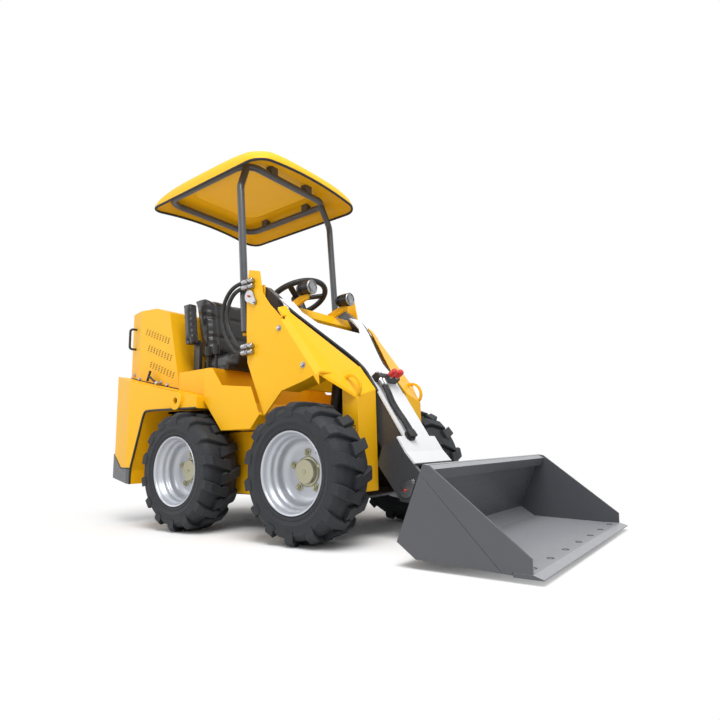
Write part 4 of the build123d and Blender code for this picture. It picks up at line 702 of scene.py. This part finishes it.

# Dark sheets just under the hood's skin, seen through the louvres: painted shade for the inside of the hood.
# The yellow-painted side skins of the belly between the wheels, and black strips along the boom's cover
# edges: painted shade for the gap beside the cover, partly the boom's own dark side
SHEET_T, SHADE_SHEET_DEPTH, SKIN_Y = 3, 1.5, 262
shade_sheets, skins = bmesh.new(), bmesh.new()
shade_sheet_outline = [(-955, 1125), (-975, 1000), (-960, 855), (-640, 775), (-690, 1080), (-715, 1125)]
skin_outline = [(-880, 215), (-880, 476), (556, 476), (556, 174), (-780, 174)]
for side in (-1, 1):
    thick = Vector((0, side * SHEET_T / 1000, 0))
    prism(shade_sheets, [at(x, side * (HOOD_HALF - SHADE_SHEET_DEPTH), z) for x, z in shade_sheet_outline], -thick)
    prism(skins, [at(x, side * SKIN_Y, z) for x, z in skin_outline], thick)
# The dark sheets under the louvres are painted shade, darkening the holes where the hood's inside is shaded
mesh_piece("louvre_shade_sheets", shade_sheets, "black_rubber", "hood")
mesh_piece("belly_skins", skins, "yellow_paint", "chassis")
edge = [
    (162, 321, 1094), (212, 316, 1047), (330, 217, 923), (452, 116, 796),
    (505, 106, 740), (532, 106, 697), (572, 106, 633),
]
# Black strips along the cover's edges: painted shade for the dark gap beside the cover, partly the boom's own
# dark side
for side, name in ((-1, "right"), (1, "left")):
    line(f"cover_shade_strip_{name}", [at(x, side * y, z) for x, y, z in edge], 8, "black_rubber", "boom")

# Gauges on the driver's side of the dash
gauge_rings, gauge_faces = bmesh.new(), bmesh.new()
for y, radius in ((-80, 30), (0, 22), (80, 30)):
    spot = at(30, y, 1045)
    ring = [(-2, radius + 4), (6, radius + 4), (8, radius + 2), (8, radius), (2, radius), (-2, radius)]
    dial = [(0, radius), (3, radius), (3.2, radius * 0.9), (3.2, 4), (6, 3), (6, 1)]
    lathe(gauge_rings, ring, spot, (-1, 0, 0), 32, closed=True)
    lathe(gauge_faces, dial, spot, (-1, 0, 0), 32)
mesh_piece("gauge_rings", gauge_rings, "worn_steel", "chassis")
mesh_piece("gauge_faces", gauge_faces, "white_paint", "chassis")

# Folded and welded sheet keeps a small radius on its edges
FOLD_R = 2
for node in (
    "tower_right", "tower_left", "rear_body", "seat_box", "floor_pan", "counterweight", "front_posts",
    "boom", "boom_cover", "bucket_shell", "bucket_sides", "cutting_edge", "hitch", "dash", "seat_frame",
):
    soften(frame["nodes"][node], FOLD_R)

# Studio: pale floor, white all round, soft key from the front and above
FLOOR_REACH = 30
FADE_FROM, FADE_TO = 1.0, 2.0
floor_mesh = bpy.data.meshes.new("floor")
floor_corners = [(x * FLOOR_REACH, y * FLOOR_REACH, 0) for x, y in ((-1, -1), (1, -1), (1, 1), (-1, 1))]
floor_mesh.from_pydata(floor_corners, [], [(0, 1, 2, 3)])
floor = bpy.data.objects.new("floor", floor_mesh)
scene.collection.objects.link(floor)
floor_paint = surface("floor_white", (0.93, 0.93, 0.93), 0.9, shift=0.004, patch=2)
nodes, links = floor_paint.node_tree.nodes, floor_paint.node_tree.links
ground = nodes.new("ShaderNodeTexCoord")
far = nodes.new("ShaderNodeVectorMath")
far.operation = "LENGTH"
links.new(ground.outputs["Object"], far.inputs[0])
fade = nodes.new("ShaderNodeMapRange")
fade.inputs["From Min"].default_value = FADE_FROM
fade.inputs["From Max"].default_value = FADE_TO
links.new(far.outputs["Value"], fade.inputs["Value"])
direct = nodes.new("ShaderNodeLightPath")
share = nodes.new("ShaderNodeMath")
share.operation = "MULTIPLY"
links.new(fade.outputs["Result"], share.inputs[0])
links.new(direct.outputs["Is Camera Ray"], share.inputs[1])
glow = nodes.new("ShaderNodeEmission")
blend = nodes.new("ShaderNodeMixShader")
links.new(share.outputs[0], blend.inputs["Fac"])
links.new(nodes["Principled BSDF"].outputs[0], blend.inputs[1])
links.new(glow.outputs[0], blend.inputs[2])
links.new(blend.outputs[0], nodes["Material Output"].inputs["Surface"])
floor_mesh.materials.append(floor_paint)

world = bpy.data.worlds.new("studio")
scene.world = world
world.use_nodes = True
world_nodes, world_links = world.node_tree.nodes, world.node_tree.links
plain = world_nodes["Background"]
plain.inputs["Color"].default_value = (1, 1, 1, 1)
plain.inputs["Strength"].default_value = 0.6
white = world_nodes.new("ShaderNodeBackground")
white.inputs["Color"].default_value = (1, 1, 1, 1)
white.inputs["Strength"].default_value = 1.0
path = world_nodes.new("ShaderNodeLightPath")
seen = world_nodes.new("ShaderNodeMath")
seen.operation = "MAXIMUM"
clear = world_nodes.new("ShaderNodeMath")
clear.operation = "MAXIMUM"
choose = world_nodes.new("ShaderNodeMixShader")
world_links.new(path.outputs["Is Camera Ray"], seen.inputs[0])
world_links.new(path.outputs["Is Glossy Ray"], seen.inputs[1])
world_links.new(seen.outputs[0], clear.inputs[0])
world_links.new(path.outputs["Is Transmission Ray"], clear.inputs[1])
world_links.new(clear.outputs[0], choose.inputs["Fac"])
world_links.new(plain.outputs[0], choose.inputs[1])
world_links.new(white.outputs[0], choose.inputs[2])
world_links.new(choose.outputs[0], world_nodes["World Output"].inputs["Surface"])


def lamp(name, place, target, size, watts):
    """A soft rectangular lamp that looks at a point."""
    data = bpy.data.lights.new(name, "AREA")
    data.shape = "RECTANGLE"
    data.size, data.size_y = size
    data.energy = watts
    lamp_object = bpy.data.objects.new(name, data)
    lamp_object.location = place
    lamp_object.rotation_euler = (Vector(target) - Vector(place)).to_track_quat("-Z", "Y").to_euler()
    scene.collection.objects.link(lamp_object)


lamp("key", (1.9, -1.7, 4.8), (0.2, 0, 0.5), (3.0, 3.0), 215)
lamp("fill", (-3.5, -3.0, 2.2), (0, 0, 0.7), (3.0, 2.5), 35)
